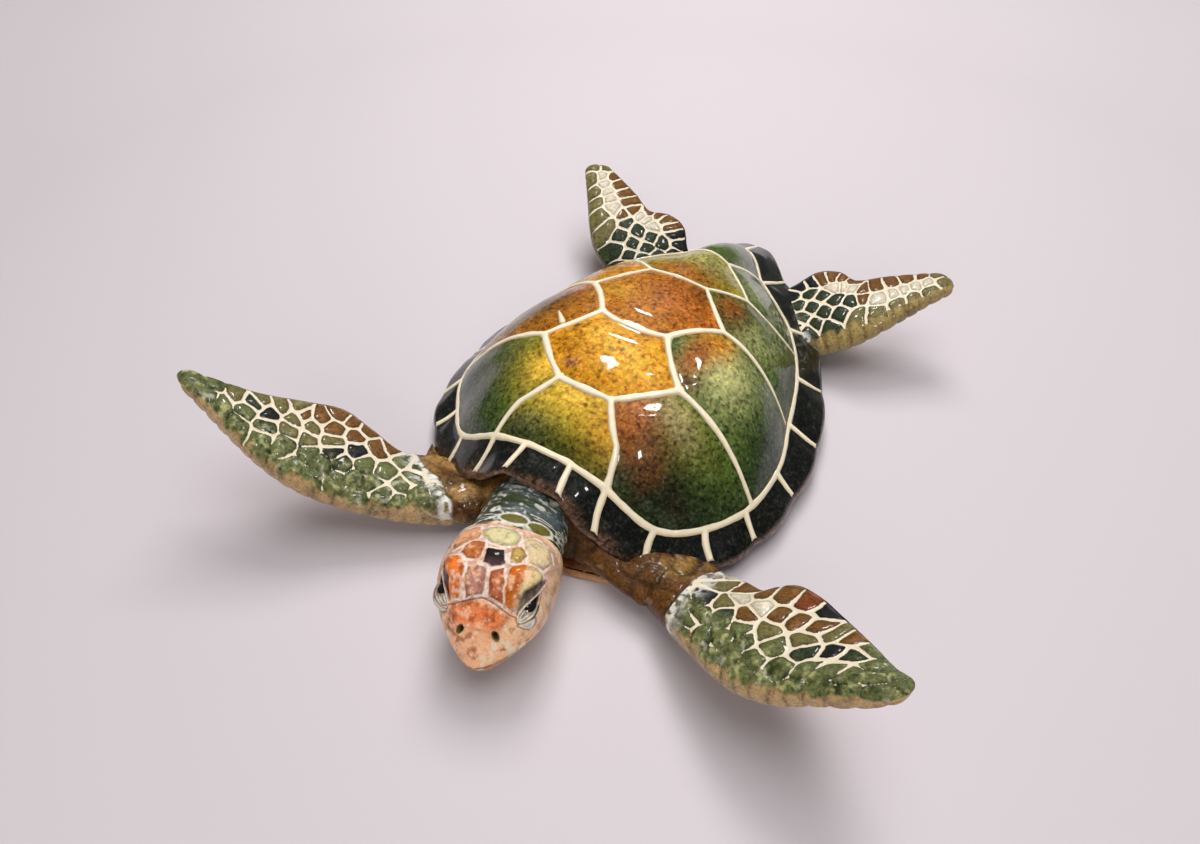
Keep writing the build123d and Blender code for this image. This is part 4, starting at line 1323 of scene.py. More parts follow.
hind_cells = {
    "olive": [
        (0.97, 0.45), (0.87, 0.18), (0.76, 0.20), (0.66, 0.20), (0.56, 0.20), (0.46, 0.20),
        (0.95, 0.80),
    ],
    "white": [
        (0.88, 0.52), (0.81, 0.47), (0.74, 0.46), (0.67, 0.45), (0.60, 0.45), (0.48, 0.72),
        (0.43, 0.70), (0.38, 0.68),
    ],
    "brown": [
        (0.87, 0.80), (0.79, 0.76), (0.71, 0.74), (0.63, 0.72), (0.55, 0.68), (0.50, 0.88),
        (0.44, 0.88), (0.38, 0.86), (0.33, 0.84), (0.53, 0.55),
    ],
    "dark": [
        (0.45, 0.45), (0.38, 0.30), (0.37, 0.50), (0.30, 0.18), (0.30, 0.38), (0.31, 0.58),
        (0.23, 0.28), (0.24, 0.50), (0.17, 0.40), (0.16, 0.62), (0.24, 0.70), (0.10, 0.30),
        (0.10, 0.60), (0.16, 0.18),
    ],
    "black": [(0.27, 0.84), (0.21, 0.88), (0.15, 0.82)],
}
for cells in (front_left_cells, front_right_cells, hind_cells):
    print(sum(map(len, cells.values())), "scales")

# %% [markdown]
# ## Four flippers
#
# The bare skin reaches far out on the front left shoulder, where the folds show, and hardly
# at all on the rear pair, which have no moss but a tan edge in front.

# %% Make the flippers
# Where bare skin ends ahead and behind, the mossy band, the tan edge, the line, the belly
front_left_look = (0.27, 0.12, 0.36, 0.06, 0.31, TAN)
front_right_look = (0.13, 0.22, 0.36, 0.07, 0.31, TAN)
rear_left_look = (0.08, -0.05, 0.0, 0.13, 0.30, HIND_TAN)
rear_right_look = (-0.05, -0.05, 0.0, 0.01, 0.32, HIND_TAN)
flippers = {
    "front_left_flipper": (front_left_rows, front_left_cells, front_left_look),
    "front_right_flipper": (front_right_rows, front_right_cells, front_right_look),
    "rear_left_flipper": (hind_rows, hind_cells, rear_left_look, 1, 190, 180),
    "rear_right_flipper": (hind_rows, hind_cells, rear_right_look, -1, 190, 180),
}
for node, shape in flippers.items():
    make_flipper(node + "_carved", node, *shape)

# %% [markdown]
# ## The head and the neck
#
# Head and neck are one casting. Its sections are squared ovals along a path that bends from
# the collar into the head's heading, from a table of widths, tops and bottoms, and the beak
# is closed by a quarter circle. The features come after: plates, sockets, lids, nostrils and
# the mouth are distances to places that are given along, across and up from the head's back.

# %% Shape the head and the neck
HEAD_BACK = np.array([3.2, -68.8])
HEAD_YAW, COLLAR_YAW = 19.0, 6.0
BEAK_START, BEAK_ROUNDING = 26.4, 1.9
NECK_ROWS, HEAD_ROWS, BEAK_ROWS, HEAD_ROUND = 60, 196, 12, 332
# Along from the head's back, half the width, the top, the bottom, and the squareness
head_rows = np.array([
    (-16.0, 10.0, 18.2, 4.0, 2.0), (-11.0, 10.3, 19.0, 3.4, 2.0), (-6.5, 10.5, 19.7, 2.8, 2.0),
    (-3.0, 10.4, 20.3, 3.0, 2.1), (0.0, 10.9, 21.2, 3.6, 2.2), (3.0, 11.8, 22.6, 4.0, 2.3),
    (8.9, 12.5, 24.0, 4.0, 2.4), (15.0, 11.9, 23.0, 4.2, 2.4), (20.0, 9.6, 19.4, 4.8, 2.4),
    (23.9, 6.6, 15.9, 5.2, 2.3), (26.4, 4.1, 12.9, 6.0, 2.2), (29.0, 2.2, 10.0, 7.4, 2.1),
])


def head_path(t):
    """Plan places of the axis: forward from the head's back at a steady heading, and back
    from it along a heading that turns to the collar's."""
    fine = np.linspace(-20, 0, 400)
    yaw = np.radians(COLLAR_YAW + (HEAD_YAW - COLLAR_YAW) * step(-13, 0, fine))
    gap = fine[1] - fine[0]
    x = HEAD_BACK[0] - np.cumsum(np.sin(yaw[::-1]) * gap)[::-1]
    y = HEAD_BACK[1] + np.cumsum(np.cos(yaw[::-1]) * gap)[::-1]
    ahead = np.maximum(t, 0)
    turned = np.where(t < 0, np.interp(t, fine, yaw), np.radians(HEAD_YAW))
    x, y = np.interp(t, fine, x), np.interp(t, fine, y)
    return np.stack([x + ahead * np.sin(turned), y - ahead * np.cos(turned)], -1), turned


def oval_power(value, squareness):
    """The value raised to 2 over the squareness, with its sign kept."""
    return np.sign(value) * np.abs(value) ** (2 / squareness)


beak_turn = np.linspace(0, np.pi / 2, BEAK_ROWS + 1)[1:] * 0.97
t = np.concatenate([
    np.linspace(-16, -1, NECK_ROWS, endpoint=False), np.linspace(-1, BEAK_START, HEAD_ROWS),
    BEAK_START + BEAK_ROUNDING * np.sin(beak_turn),
])
shrink = np.concatenate([np.ones(NECK_ROWS + HEAD_ROWS), np.cos(beak_turn)])
half_width, top, bottom, squareness = smooth(head_rows[:, 0], head_rows[:, 1:], t).T
middle_z, half_height = (top + bottom) / 2, (top - bottom) / 2 * shrink
half_width = half_width * shrink
turn = np.linspace(-np.pi, np.pi, HEAD_ROUND, endpoint=False)
# Columns stand closer on top, where the plates are, than under the chin
turn = turn - 0.35 * np.sin(turn)
across = half_width[:, None] * oval_power(np.sin(turn), squareness[:, None])
up = middle_z[:, None] + half_height[:, None] * oval_power(np.cos(turn), squareness[:, None])
head_local = np.stack([np.broadcast_to(t[:, None], across.shape), across, up], -1)


def head_to_frame(local):
    """Places along, across and up of the head, moved into the frame."""
    plan, yaw = head_path(local[..., 0])
    left = np.stack([np.cos(yaw), np.sin(yaw)], -1)
    return np.concatenate([plan + local[..., 1:2] * left, local[..., 2:]], -1)


def outward_normals(grid):
    """Unit normals of a grid closed round, from the cross product of its two ways."""
    round_way = np.roll(grid, -1, 1) - np.roll(grid, 1, 1)
    normals = np.cross(round_way, np.gradient(grid, axis=0))
    normals /= np.linalg.norm(normals, axis=-1)[..., None] + 1e-9
    middle = grid.mean(1, keepdims=True)
    return normals * np.sign(((grid - middle) * normals).sum())


print("head", len(t), "sections of", HEAD_ROUND, "points, nose at", head_path(t[-1:])[0].round(1))

# %% [markdown]
# ## The plates of the head
#
# The crown is covered with plates: a black square one, a hood behind it, small ones beside
# it, a pair between the brows, the brows themselves and the snout's. Each is an outline seen
# from above. The signed distance to the nearest outline raises the plates, and what lies
# between them is the whitish net that was brushed over the grooves.

# %% List the plates
# Colour, then the outline along and across from the head's back
plates = {
    "crown": ((22, 14, 16), [(9.3, -1.8), (8.9, 1.8), (11.9, 2.6), (13.0, 0.4), (12.4, -1.5)]),
    "hood": ((190, 182, 138), [
        (4.4, -4.4), (2.5, -1.7), (3.0, 2.2), (4.9, 3.9), (6.9, 3.8), (7.9, 2.0), (7.7, -1.2),
        (6.3, -3.6),
    ]),
    "back_right": ((196, 142, 104), [
        (7.4, -10.2), (4.4, -9.6), (3.2, -5.4), (5.4, -4.4), (7.0, -4.8), (8.4, -6.8), (10.0, -9.0),
    ]),
    "back_left": ((176, 178, 136), [
        (5.4, 4.7), (3.6, 6.6), (4.6, 9.6), (7.0, 10.8), (10.0, 9.8), (10.2, 7.2), (8.2, 6.4),
        (6.8, 5.2),
    ]),
    "small_right": ((168, 98, 48), [
        (9.2, -6.7), (7.9, -5.4), (7.9, -2.9), (9.6, -2.5), (12.0, -2.6), (12.4, -5.0),
        (10.9, -7.0),
    ]),
    "small_left": ((170, 138, 72), [(8.2, 3.0), (7.2, 4.6), (8.8, 6.2), (10.9, 5.8), (11.5, 3.6)]),
    "middle_right": ((164, 116, 104), [
        (13.9, -4.2), (13.1, -2.9), (13.5, -0.6), (15.7, -0.4), (18.1, -0.3), (19.0, -3.7),
        (16.2, -4.3),
    ]),
    "middle_left": ((168, 94, 60), [
        (13.9, 0.5), (12.8, 2.7), (15.2, 3.4), (18.6, 4.1), (18.0, 1.0), (15.6, 0.4),
    ]),
    "brow_right": ((210, 112, 40), [
        (11.8, -8.8), (12.1, -6.4), (14.0, -4.9), (16.6, -4.8), (19.2, -5.0), (19.2, -7.0),
        (16.5, -9.0), (13.8, -10.2),
    ]),
    "brow_left": ((206, 184, 136), [
        (12.2, 4.2), (11.3, 5.9), (10.7, 8.0), (11.2, 9.9), (12.6, 10.3), (14.4, 9.4), (16.3, 8.0),
        (18.2, 7.0), (19.6, 5.8), (18.6, 4.6), (16.1, 4.0), (14.0, 3.9),
    ]),
    "snout": ((204, 116, 66), [
        (20.0, -6.3), (19.3, -3.0), (18.9, 0.4), (19.6, 2.5), (20.2, 5.8), (22.0, 5.0), (24.5, 3.0),
        (25.6, 0.0), (25.2, -2.6), (23.6, -5.4),
    ]),
}
FACE, CHEEK, BEAK = srgb(246, 196, 158), srgb(236, 202, 156), srgb(238, 184, 142)
NET, NET_BROWN, SNOUT_CREASE_SHADE = srgb(232, 216, 206), srgb(188, 146, 128), srgb(96, 52, 38)
DARK_LID, LID_CREAM = srgb(34, 24, 28), srgb(228, 220, 206)
print(len(plates), "plates")

# %% [markdown]
# ## The skin of the head
#
# Under the plates the face is peach and the cheeks are a paler cream, sprayed into each
# other. The outlines of the plates are measured from places shaken by noise, which gives
# them the uneven edges of a hand-cut mould.

# %% Paint the face
def plate_field(points, outline):
    """Distance to a closed outline in plan, below zero inside it."""
    line = np.array(outline + outline[:1], float)
    gap = near_line(points, line, np.full(len(line), 1e-6), 30.0)[0]
    return np.where(inside(outline, points[:, 0], points[:, 1]), -gap, gap)


flat = head_local.reshape(-1, 3)
side = np.abs(flat) * (0, 1, 0) + flat * (1, 0, 1)
plan_warp = flat[:, :2] + 0.26 * np.stack([noise(flat, 1.7, 11), noise(flat, 1.7, 12)], -1)
plan_warp += 0.13 * np.stack([noise(flat, 0.7, 9), noise(flat, 0.7, 10)], -1)
upper = flat[:, 2] > np.repeat(middle_z, HEAD_ROUND)
cheek = step(0.0, 0.5, layered(flat, 9.0, 13)) * 0.8 + 0.4 * (flat[:, 1] > 0)
shaded = 0.55 * step(0.10, 0.5, layered(flat, 2.2, 14)) * step(-4, 4, -flat[:, 1])
head_paint = painted(
    np.tile(FACE, (len(flat), 1)),
    (CHEEK, cheek),
    (BEAK, step(20.0, 24.5, flat[:, 0])),
    (srgb(150, 84, 50), shaded),
)
print(len(flat), "points on the head")

# %% [markdown]
# ## Paint on the plates
#
# Every plate was filled with its own colour and darkened at its border. The snout's colour
# runs out softly into the beak. Between the plates of the crown lies a brown groove with
# whitish paint that clings beside them, and all of it was stippled at the end.

# %% Paint the plates
plate_gap = np.full(len(flat), 9.0)
for name, (color, outline) in plates.items():
    gap = np.where(upper, plate_field(plan_warp, outline), 9.0)
    fade = step(25.0, 21.5, flat[:, 0]) if name == "snout" else 1.0 - 0.45 * (name == "back_left")
    plate_gap = np.where(fade > 0.5, np.minimum(plate_gap, gap), plate_gap)
    bright = np.minimum(1.3 * srgb(*color), 0.85)
    tint = mix(np.tile(bright, (len(flat), 1)), bright * 0.35, 0.55 * step(-1.1, -0.1, gap))
    if name == "crown":
        tint = mix(tint, srgb(96, 66, 68), 0.8 * step(10.6, 13.0, plan_warp[:, 0]))
    if name == "brow_left":
        outer_half = plan_warp[:, 1] - 6.6 + 0.12 * (plan_warp[:, 0] - 15)
        tint = mix(tint, srgb(200, 104, 28), step(0.9, -0.9, outer_half))
    soft = 0.9 if name == "snout" else 0.1
    head_paint = mix(head_paint, tint, step(soft, -soft, gap) * fade)

off_plates = plate_gap > 0
patchy = step(0.05, 0.5, layered(flat * (1, 1, 0.6), 2.4, 20)) * off_plates * (flat[:, 0] < 22)
chalky = off_plates * step(0.10, 0.4, layered(flat * (1, 1, 0.5), 1.7, 21))
crown_area = upper & (flat[:, 0] > 1.5) & (flat[:, 0] < 19.5)
net = step(0.0, 0.15, plate_gap) * step(2.2, 1.0, plate_gap) * crown_area
hugging = step(0.34, 0.12, np.abs(plate_gap - 0.34)) * step(-0.35, 0.1, layered(flat, 1.1, 15))
head_paint = painted(
    head_paint,
    (srgb(170, 132, 88), 0.6 * patchy),
    (srgb(232, 222, 196), 0.75 * chalky),
    (NET_BROWN, 0.75 * net),
    (NET, 0.95 * net * hugging + 0.6 * net * step(0.1, 0.4, layered(flat, 0.8, 8))),
)
plated = (plate_gap < 0.05) & (flat[:, 0] > 2)
not_black = head_paint.sum(1) > 0.15
stippled = plated * step(0.30, 0.55, layered(flat, 1.0, 7)) * not_black
head_paint = mix(head_paint, NET, 0.55 * stippled)
darker = plated * step(0.15, 0.5, -layered(flat, 0.9, 6))
head_paint = mix(head_paint, head_paint * 0.45, 0.6 * darker)
redness = head_paint[:, 0] / (head_paint[:, 2] + 0.01)
orange = step(1.9, 2.6, redness) * ((plate_gap < 0) | (flat[:, 0] > 20))
head_paint = painted(
    head_paint,
    (srgb(240, 190, 150), 0.75 * orange * step(0.05, 0.45, layered(flat, 1.2, 16))),
    (srgb(150, 62, 20), 0.65 * orange * step(0.05, 0.45, -layered(flat, 1.3, 17))),
)
print(int(plated.sum()), "points on plates")

# %% [markdown]
# ## Relief and creases of the head
#
# The plates stand about a third of a millimetre proud, and both brows a whole one. The
# mouth is the deepest cut. Fine creases run over the snout and down each cheek. They are
# bent lines given for the left side, and the right side has the same ones. Each crease is
# painted darker as painted shade, and so is the lower jaw under the overhang of the beak.

# %% Carve the head
mouth = [
    (28.3, 0.0, 9.0), (27.2, 2.6, 9.7), (26.0, 4.2, 10.1), (24.0, 6.3, 10.1), (21.5, 8.5, 9.8),
    (18.8, 10.4, 9.6), (15.5, 11.7, 10.2),
]
snout_crease = [
    (19.9, 7.8, 17.4), (20.0, 5.8, 18.5), (19.2, 2.6, 20.0), (18.6, 0.4, 20.5), (18.7, -0.4, 20.5),
]
cheek_crease = [(9.0, 12.4, 16.0), (8.0, 12.6, 12.5), (9.5, 12.5, 9.5), (12.5, 12.3, 8.0)]
nape_crease = [(3.5, 11.0, 17.5), (5.5, 11.8, 15.0), (5.0, 12.0, 11.0), (7.0, 12.4, 7.0)]
# Line along, across and up, its half width and depth, its painted shade and its strength
creases = [
    (mouth, 0.28, 0.8, srgb(84, 46, 24), 1.0),
    (snout_crease, 0.10, 0.22, SNOUT_CREASE_SHADE, 0.9),
    (cheek_crease, 0.12, 0.25, srgb(146, 120, 84), 0.7),
    (nape_crease, 0.12, 0.3, srgb(120, 104, 72), 0.7),
]

raised = 0.32 * (1 - np.exp(np.minimum(plate_gap, 0) / 0.45)) * (plate_gap < 0)
carve = raised - 0.10 * net + 0.05 * layered(flat, 1.2, 18)
for sign in (1, -1):
    brow_gap = plate_field(flat[:, :2] * (1, sign), plates["brow_left"][1])
    carve += 1.0 * step(1.2, -2.0, brow_gap) * upper
unsteady = 0.06 * noise(flat, 1.1, 19)
for line, half_width, depth, color, strength in creases:
    widths = np.full(len(line), half_width)
    gap = near_line(side, np.array(line, float), widths, 5.0)[0] + unsteady
    carve -= depth * step(0.25, -half_width, gap)
    # Painted shade along the crease
    head_paint = mix(head_paint, color, strength * step(0.12, -0.05, gap))
lip_line = np.interp(side[:, 0], [15.5, 18.8, 24.0, 27.2, 28.3], [10.2, 9.6, 10.1, 9.7, 9.0])
jaw = step(0.2, -0.2, side[:, 2] - lip_line) * step(14.0, 17.0, side[:, 0])
carve -= 0.35 * jaw
# Painted shade on the lower jaw, under the overhang of the upper beak
head_paint = mix(head_paint, srgb(150, 104, 70), 0.4 * jaw)
print(len(creases), "creases on each side")

# %% [markdown]
# ## The eyes and the nostrils
#
# The eyes are half closed and slanted: a lid line, a dark slit and a pale corner under a
# shaded brow. The skin near an eyeball is first drawn out over it, then pushed in under it
# inside the slit, so the glossy ball of the frame shows through a true opening.

# %% Shape the eyes
EYE = np.array([16.96, 7.95, 16.0])
EYE_RADIUS = 3.4
SLIT_MIDDLE = np.array([16.9, 9.5, 18.5])
SLIT_WAY = np.array([0.822, -0.533, -0.20])
SLIT_DOWN = np.array([0.191, 0.588, -0.782])
# Outlines on the eye, along the slit towards the beak and down from it
lid_outline = [
    (-3.0, -1.0), (-0.3, -1.15), (1.8, -0.95), (3.15, -0.6), (4.05, 0.05), (4.25, 0.5),
    (3.3, 1.1), (2.05, 1.1), (1.3, 1.05), (-0.3, 0.65), (-1.8, 0.1),
]
slit_outline = [
    (-2.4, -0.85), (-0.4, -0.9), (1.35, -0.8), (1.7, -0.55), (1.4, 0.35), (0.95, 0.62),
    (-0.1, 0.5), (-1.4, 0.0),
]
sliver_outline = [
    (-0.8, 0.5), (0.5, 0.76), (1.35, 1.06), (2.3, 1.12), (1.4, 1.36), (0.4, 1.12), (-0.7, 0.85),
]
drop_outline = [
    (4.6, 1.1), (3.4, 1.25), (2.3, 1.28), (1.4, 1.5), (1.6, 1.9), (2.0, 2.4), (3.3, 3.6),
    (4.1, 2.4),
]
lid_edge = np.array([(-5.0, -0.8), (-0.3, -1.12), (1.8, -0.95), (3.15, -0.6), (4.05, 0.05)])

u, v = (side - SLIT_MIDDLE) @ SLIT_WAY, (side - SLIT_MIDDLE) @ SLIT_DOWN
near_eye = np.linalg.norm(side - EYE, axis=1) < 8.0


def on_eye(outline):
    """Distance to an outline on the eye, below zero inside it, and 9 away from the eye."""
    return np.where(near_eye, plate_field(np.stack([u, v], -1), outline), 9.0)


lid_gap, slit_gap = on_eye(lid_outline), on_eye(slit_outline)
drop, sliver = on_eye(drop_outline), on_eye(sliver_outline)
opening = step(0.02, -0.14, slit_gap)
above = np.interp(u, lid_edge[:, 0], lid_edge[:, 1]) - v
shade_top = np.interp(u, [-5.5, -4.5, -0.5, 1.7, 3.6], [0.4, 1.6, 2.4, 1.2, 0.3])
shade = step(0.08, 0.22, above) * step(0.5, -0.4, above - shade_top + 0.2 * noise(flat, 1.2, 5))
shade = shade * near_eye * step(-5.8, -4.4, u) * step(3.9, 2.4, u)
rim_bump = np.exp(-(((lid_gap - 0.05) / 0.22) ** 2))
from_nostril = side[:, 0] - 23.5
nostril = np.hypot(from_nostril / 0.66, (side[:, 1] - 3.65 - 0.3 * from_nostril) / 0.78)
nostril = nostril + 9.0 * ~upper
carve += 0.22 * rim_bump + 0.18 * step(0.1, -0.3, drop)
carve -= 0.35 * shade + 0.30 * step(0.15, -0.1, sliver)
carve += 0.10 * np.exp(-(((nostril - 1.35) / 0.25) ** 2)) - 1.3 * step(1.1, 0.2, nostril)
print(int((opening > 0.5).sum()), "points in the slits")

# %% [markdown]
# ## The paint of the eyes
#
# The painter worked from dark to light here: a dark hollow under the brow, a cream lid with
# brown folds, black in the slit, a cream line along the upper lid, and a pale drop of paint
# at the front corner. The nostrils are olive with a brown middle.

# %% Paint the eyes
in_lid = step(0.0, -0.15, lid_gap)
folds = np.minimum(np.abs(lid_gap + 0.38), np.abs(lid_gap + 0.85)) + 0.10 * noise(flat, 1.0, 4)
along_lid = step(-4.6, -3.0, u) * step(3.9, 2.3, u) * near_eye * (slit_gap < 1.2)
under_lid = step(0.40, 0.28, lid_gap) * step(0.06, 0.16, lid_gap) * (above < 0)
head_paint = painted(
    head_paint,
    (DARK_LID * 0.6, 0.97 * shade * (0.85 + 0.15 * noise(flat, 0.9, 22))),
    (LID_CREAM, step(0.05, -0.08, lid_gap) * step(-1.6, 0.0, u)),
    (srgb(150, 128, 100), 0.8 * in_lid * step(0.7, 0.2, slit_gap)),
    (srgb(104, 80, 58), 0.8 * in_lid * step(0.20, 0.05, folds)),
    (DARK_LID * 0.3, step(0.12, -0.05, slit_gap)),
    (LID_CREAM, 0.95 * step(0.13, 0.05, np.abs(above)) * along_lid),
    (srgb(120, 92, 72), 0.8 * under_lid),
    (srgb(120, 96, 76), 0.8 * step(0.4, 0.2, drop)),
    (srgb(206, 192, 172), 0.9 * step(0.1, -0.2, drop)),
    (LID_CREAM, 0.8 * step(-0.6, -0.2, drop) * step(0.1, -0.1, drop)),
    (DARK_LID * 0.5, 0.95 * step(0.1, -0.1, sliver)),
    (srgb(104, 84, 46), step(1.2, 0.9, nostril)),
    (srgb(50, 38, 20), step(0.8, 0.4, nostril)),
)
print(int((shade > 0.5).sum()), "points in the shade of the brows")

# %% [markdown]
# ## The folds of the neck
#
# The neck is gathered in rings of loose skin, dark green and slate, with painted shade in
# the folds, a painted highlight and white flakes on the ridges, and a few olive plates
# behind the hood. Noise stretched round the neck gives ridges that branch, which evenly
# spaced rings would not.

# %% Fold the neck
NECK_GREEN, NECK_BLUE, FLAKE = srgb(50, 58, 34), srgb(78, 88, 92), srgb(226, 224, 212)
turn_grid = np.tile(turn, len(t))


def neck_places(along, size):
    """Places whose last two numbers run round a circle of one size: the smaller it is, the
    farther a noise drawn from them is stretched round the neck."""
    return np.stack([along, np.sin(turn_grid) * size, np.cos(turn_grid) * size], -1)


along = flat[:, 0]
wide = neck_places(along, 3.2)
ridges = 0.6 * layered(wide, 1.9, 23) + 0.6 * layered(neck_places(along, 2.0), 0.8, 30)
is_neck = step(1.6, 0.2, along + 0.5 * noise(flat, 3.0, 24))
carve = carve * (1 - is_neck) + is_neck * (0.55 * ridges - 0.25)
behind_hood = (along - 1.0 - 0.4 * noise(flat, 4.0, 25)) / 0.55
carve -= 0.7 * np.exp(-(behind_hood**2))
print(int((is_neck > 0.5).sum()), "points on the neck")

# %% [markdown]
# ## The paint of the neck
#
# The valleys between the ridges are darkened as painted shade, and the ridge tops are
# lightened as a painted highlight. White flakes lie over them, most of all behind the head.
# A noise that is squeezed along the neck gives the strands where it crosses zero, and a
# finer one adds wisps. Two ovals behind the hood are the olive plates.

# %% Paint the neck
blueish = step(-0.2, 0.4, layered(wide, 2.6, 26)) * step(-1.0, -5.0, along)
neck_paint = mix(np.tile(NECK_GREEN, (len(flat), 1)), NECK_BLUE, blueish)
# Painted shade in the valleys between the ridges
neck_paint = mix(neck_paint, neck_paint * 0.4, step(0.0, 0.5, -ridges))
strands = 1 - np.abs(noise(neck_places(along, 1.5), 0.9, 27)) * 4.5 + 0.5 * noise(flat, 0.8, 28)
head_end = step(-6.5, -3.5, along)
patches = noise(flat, 3.2, 29) + 0.75 * head_end + 0.3 * step(2, 8, flat[:, 1])
flakes = step(0.30, 0.65, strands) * step(0.05, 0.35, patches)
wisps = noise(neck_places(along + 0.8 * noise(flat, 2.2, 39), 4.0), 0.62, 38)
middle_plate = np.hypot((along + 1.4) / 1.3, (flat[:, 1] - 0.2) / 3.0)
left_plate = np.hypot((along + 0.9) / 1.3, (flat[:, 1] - 6.0) / 2.4)
olive_plates = np.minimum(middle_plate, left_plate) + 9.0 * ~upper
neck_paint = painted(
    neck_paint,
    # Painted highlight on the ridge tops
    (FLAKE, 0.30 * step(0.25, 0.7, ridges)),
    (FLAKE, 0.6 * step(0.38, 0.62, wisps)),
    (FLAKE, (0.40 + 0.55 * head_end) * flakes),
    (FLAKE, 0.9 * step(1.35, 1.2, olive_plates)),
    (srgb(104, 98, 42), step(1.1, 0.95, olive_plates)),
)
head_paint = mix(head_paint, neck_paint, is_neck)
head_paint = mix(head_paint, srgb(188, 168, 120), 0.6 * step(8.0, 4.5, flat[:, 2]) * is_neck)
print(int((flakes > 0.5).sum()), "points under white flakes")

# %% [markdown]
# ## Lids over the eyeballs
#
# The carving is laid on along the normals. Then every point near an eyeball moves along its
# spoke from the ball's middle: outside the slit it is kept off the ball, and inside the slit
# it is sunk under the ball's surface, so the ball itself shows.

# %% Close the head
LID_THICKNESS = 0.16
frame_grid = head_to_frame(head_local)
normals = outward_normals(frame_grid).reshape(-1, 3)
head_points = frame_grid.reshape(-1, 3) + normals * carve[:, None]
for sign in (1, -1):
    middle = head_to_frame((EYE * (1, sign, 1))[None])[0]
    spoke = head_points - middle
    radius = np.linalg.norm(spoke, axis=1)
    this_side = flat[:, 1] * sign > 0
    lifted = np.maximum(radius, EYE_RADIUS + LID_THICKNESS + 0.15 * rim_bump)
    wanted = np.where(radius < EYE_RADIUS + 0.6, lifted, radius)
    wanted = wanted * (1 - opening) + np.maximum(EYE_RADIUS - 0.55, radius - 0.7) * opening
    moved = middle + spoke * (wanted / radius)[:, None]
    outer = this_side & (radius < EYE_RADIUS + 2.5) & ((spoke * normals).sum(1) > 0)
    head_points = np.where(outer[:, None], moved, head_points)
points, faces = closed_tube(head_points.reshape(frame_grid.shape))
head_paint = np.concatenate([head_paint, head_paint[:1], head_paint[-1:]])
head_skin = paint_material(
    "head_paint", grain=1800.0, dark=0.35, light=0.35, rough=0.42, coat=0.35, bump=0.25,
)
make_piece("carved_head", points, faces, head_skin, ["head"], head_paint)

# %% [markdown]
# ## The body
#
# Between the shell and the belly plate sits the body casting. Only its shoulders and its
# hips show: loose, folded brown skin, with painted shade in its creases and a painted
# highlight on its lumps, that the flippers grow out of. It is one closed skin, a row of
# sections fanned round the middle of the belly, and each section is a quarter of an oval
# that is cut down wherever the shell lies over it.

# %% Shape the body
BODY_MIDDLE = np.array([0.0, -12.0])
BODY_ROUND, SIDE_ROWS, BASE_ROWS = 540, 124, 14
FOOT_HEIGHT, WIDEST_HEIGHT, UNDER_SHELL = 2.0, 6.0, 2.5
# Plan places round the body with the height of its top, from the tail round the right side
# to the front, and back along the left side
body_outline = np.array([
    (0, 52, 30), (-8, 50, 26), (-16, 48.5, 18), (-23, 51.5, 13), (-30, 47.5, 12),
    (-35.5, 39.5, 12), (-34.5, 33, 12), (-31.5, 27, 18), (-33, 16, 30), (-36, 0, 32),
    (-37.5, -18, 32), (-37, -34, 24), (-36.5, -44, 14), (-35.5, -53, 12), (-32, -61, 12),
    (-25, -67.5, 12.5), (-17, -67, 14), (-12, -63, 20), (-5, -61.5, 32), (3, -61.5, 34),
    (11, -61.5, 30), (18, -61, 21), (26, -62.5, 14), (33.5, -63, 12), (39, -58, 10),
    (40, -50.5, 8), (38, -42, 9), (37, -32, 24), (37.5, -18, 32), (36, 0, 32), (33, 16, 30),
    (31.5, 27, 18), (34.5, 33, 12), (35.5, 39.5, 12), (30, 47.5, 12), (23, 51.5, 13),
    (16, 48.5, 18), (8, 50, 26), (0, 52, 30),
], float)
away = body_outline[:, :2] - BODY_MIDDLE
body_angle = np.unwrap(np.arctan2(away[:, 0], -away[:, 1]))
body_angle = np.abs(body_angle - body_angle[0])
turn = np.linspace(0, 2 * np.pi, BODY_ROUND, endpoint=False)
body_reach = smooth(body_angle, np.hypot(away[:, 0], away[:, 1]), turn)
body_top = smooth(body_angle, body_outline[:, 2], turn)
rise_turn = np.linspace(0, np.pi / 2, SIDE_ROWS)
low = np.linspace(0, 1, BASE_ROWS, endpoint=False)
# Out over the foot, up to the widest part, and in over the side
share = np.concatenate([
    np.linspace(0.1, 0.92, BASE_ROWS), 0.93 + 0.07 * np.sin(low * np.pi / 2),
    np.maximum(np.cos(rise_turn), 0.02),
])
floor_height = np.concatenate([
    np.full(BASE_ROWS, FOOT_HEIGHT), FOOT_HEIGHT + (WIDEST_HEIGHT - FOOT_HEIGHT) * low,
    np.full(SIDE_ROWS, WIDEST_HEIGHT),
])
climb = np.concatenate([np.zeros(2 * BASE_ROWS), np.sin(rise_turn)])
height = floor_height[:, None] + climb[:, None] * (body_top - WIDEST_HEIGHT)
way = np.stack([np.sin(turn + np.pi), -np.cos(turn + np.pi)], -1)
plan = BODY_MIDDLE + share[:, None, None] * (body_reach[:, None] * way)
body_points = np.concatenate([plan, height[..., None]], -1)
flat = body_points.reshape(-1, 3)
wrinkles, body_color = loose_skin(flat)
normals = outward_normals(body_points).reshape(-1, 3)
moved = flat + normals * (wrinkles * step(FOOT_HEIGHT, 4.0, flat[:, 2]))[:, None]
angle, distance = polar(moved[:, 0], moved[:, 1])
outside_rim = distance - rim_outline(np.where(moved[:, 0] < 0, -angle, angle))
ceiling = roof(moved[:, 0], moved[:, 1]) - UNDER_SHELL + 22.0 * step(-0.1, 1.2, outside_rim)
moved[:, 2] = np.maximum(np.minimum(moved[:, 2], ceiling), FOOT_HEIGHT)
points, faces = closed_tube(moved.reshape(body_points.shape))
print("body", round(float(body_reach.max()), 1), "mm from its middle at most")
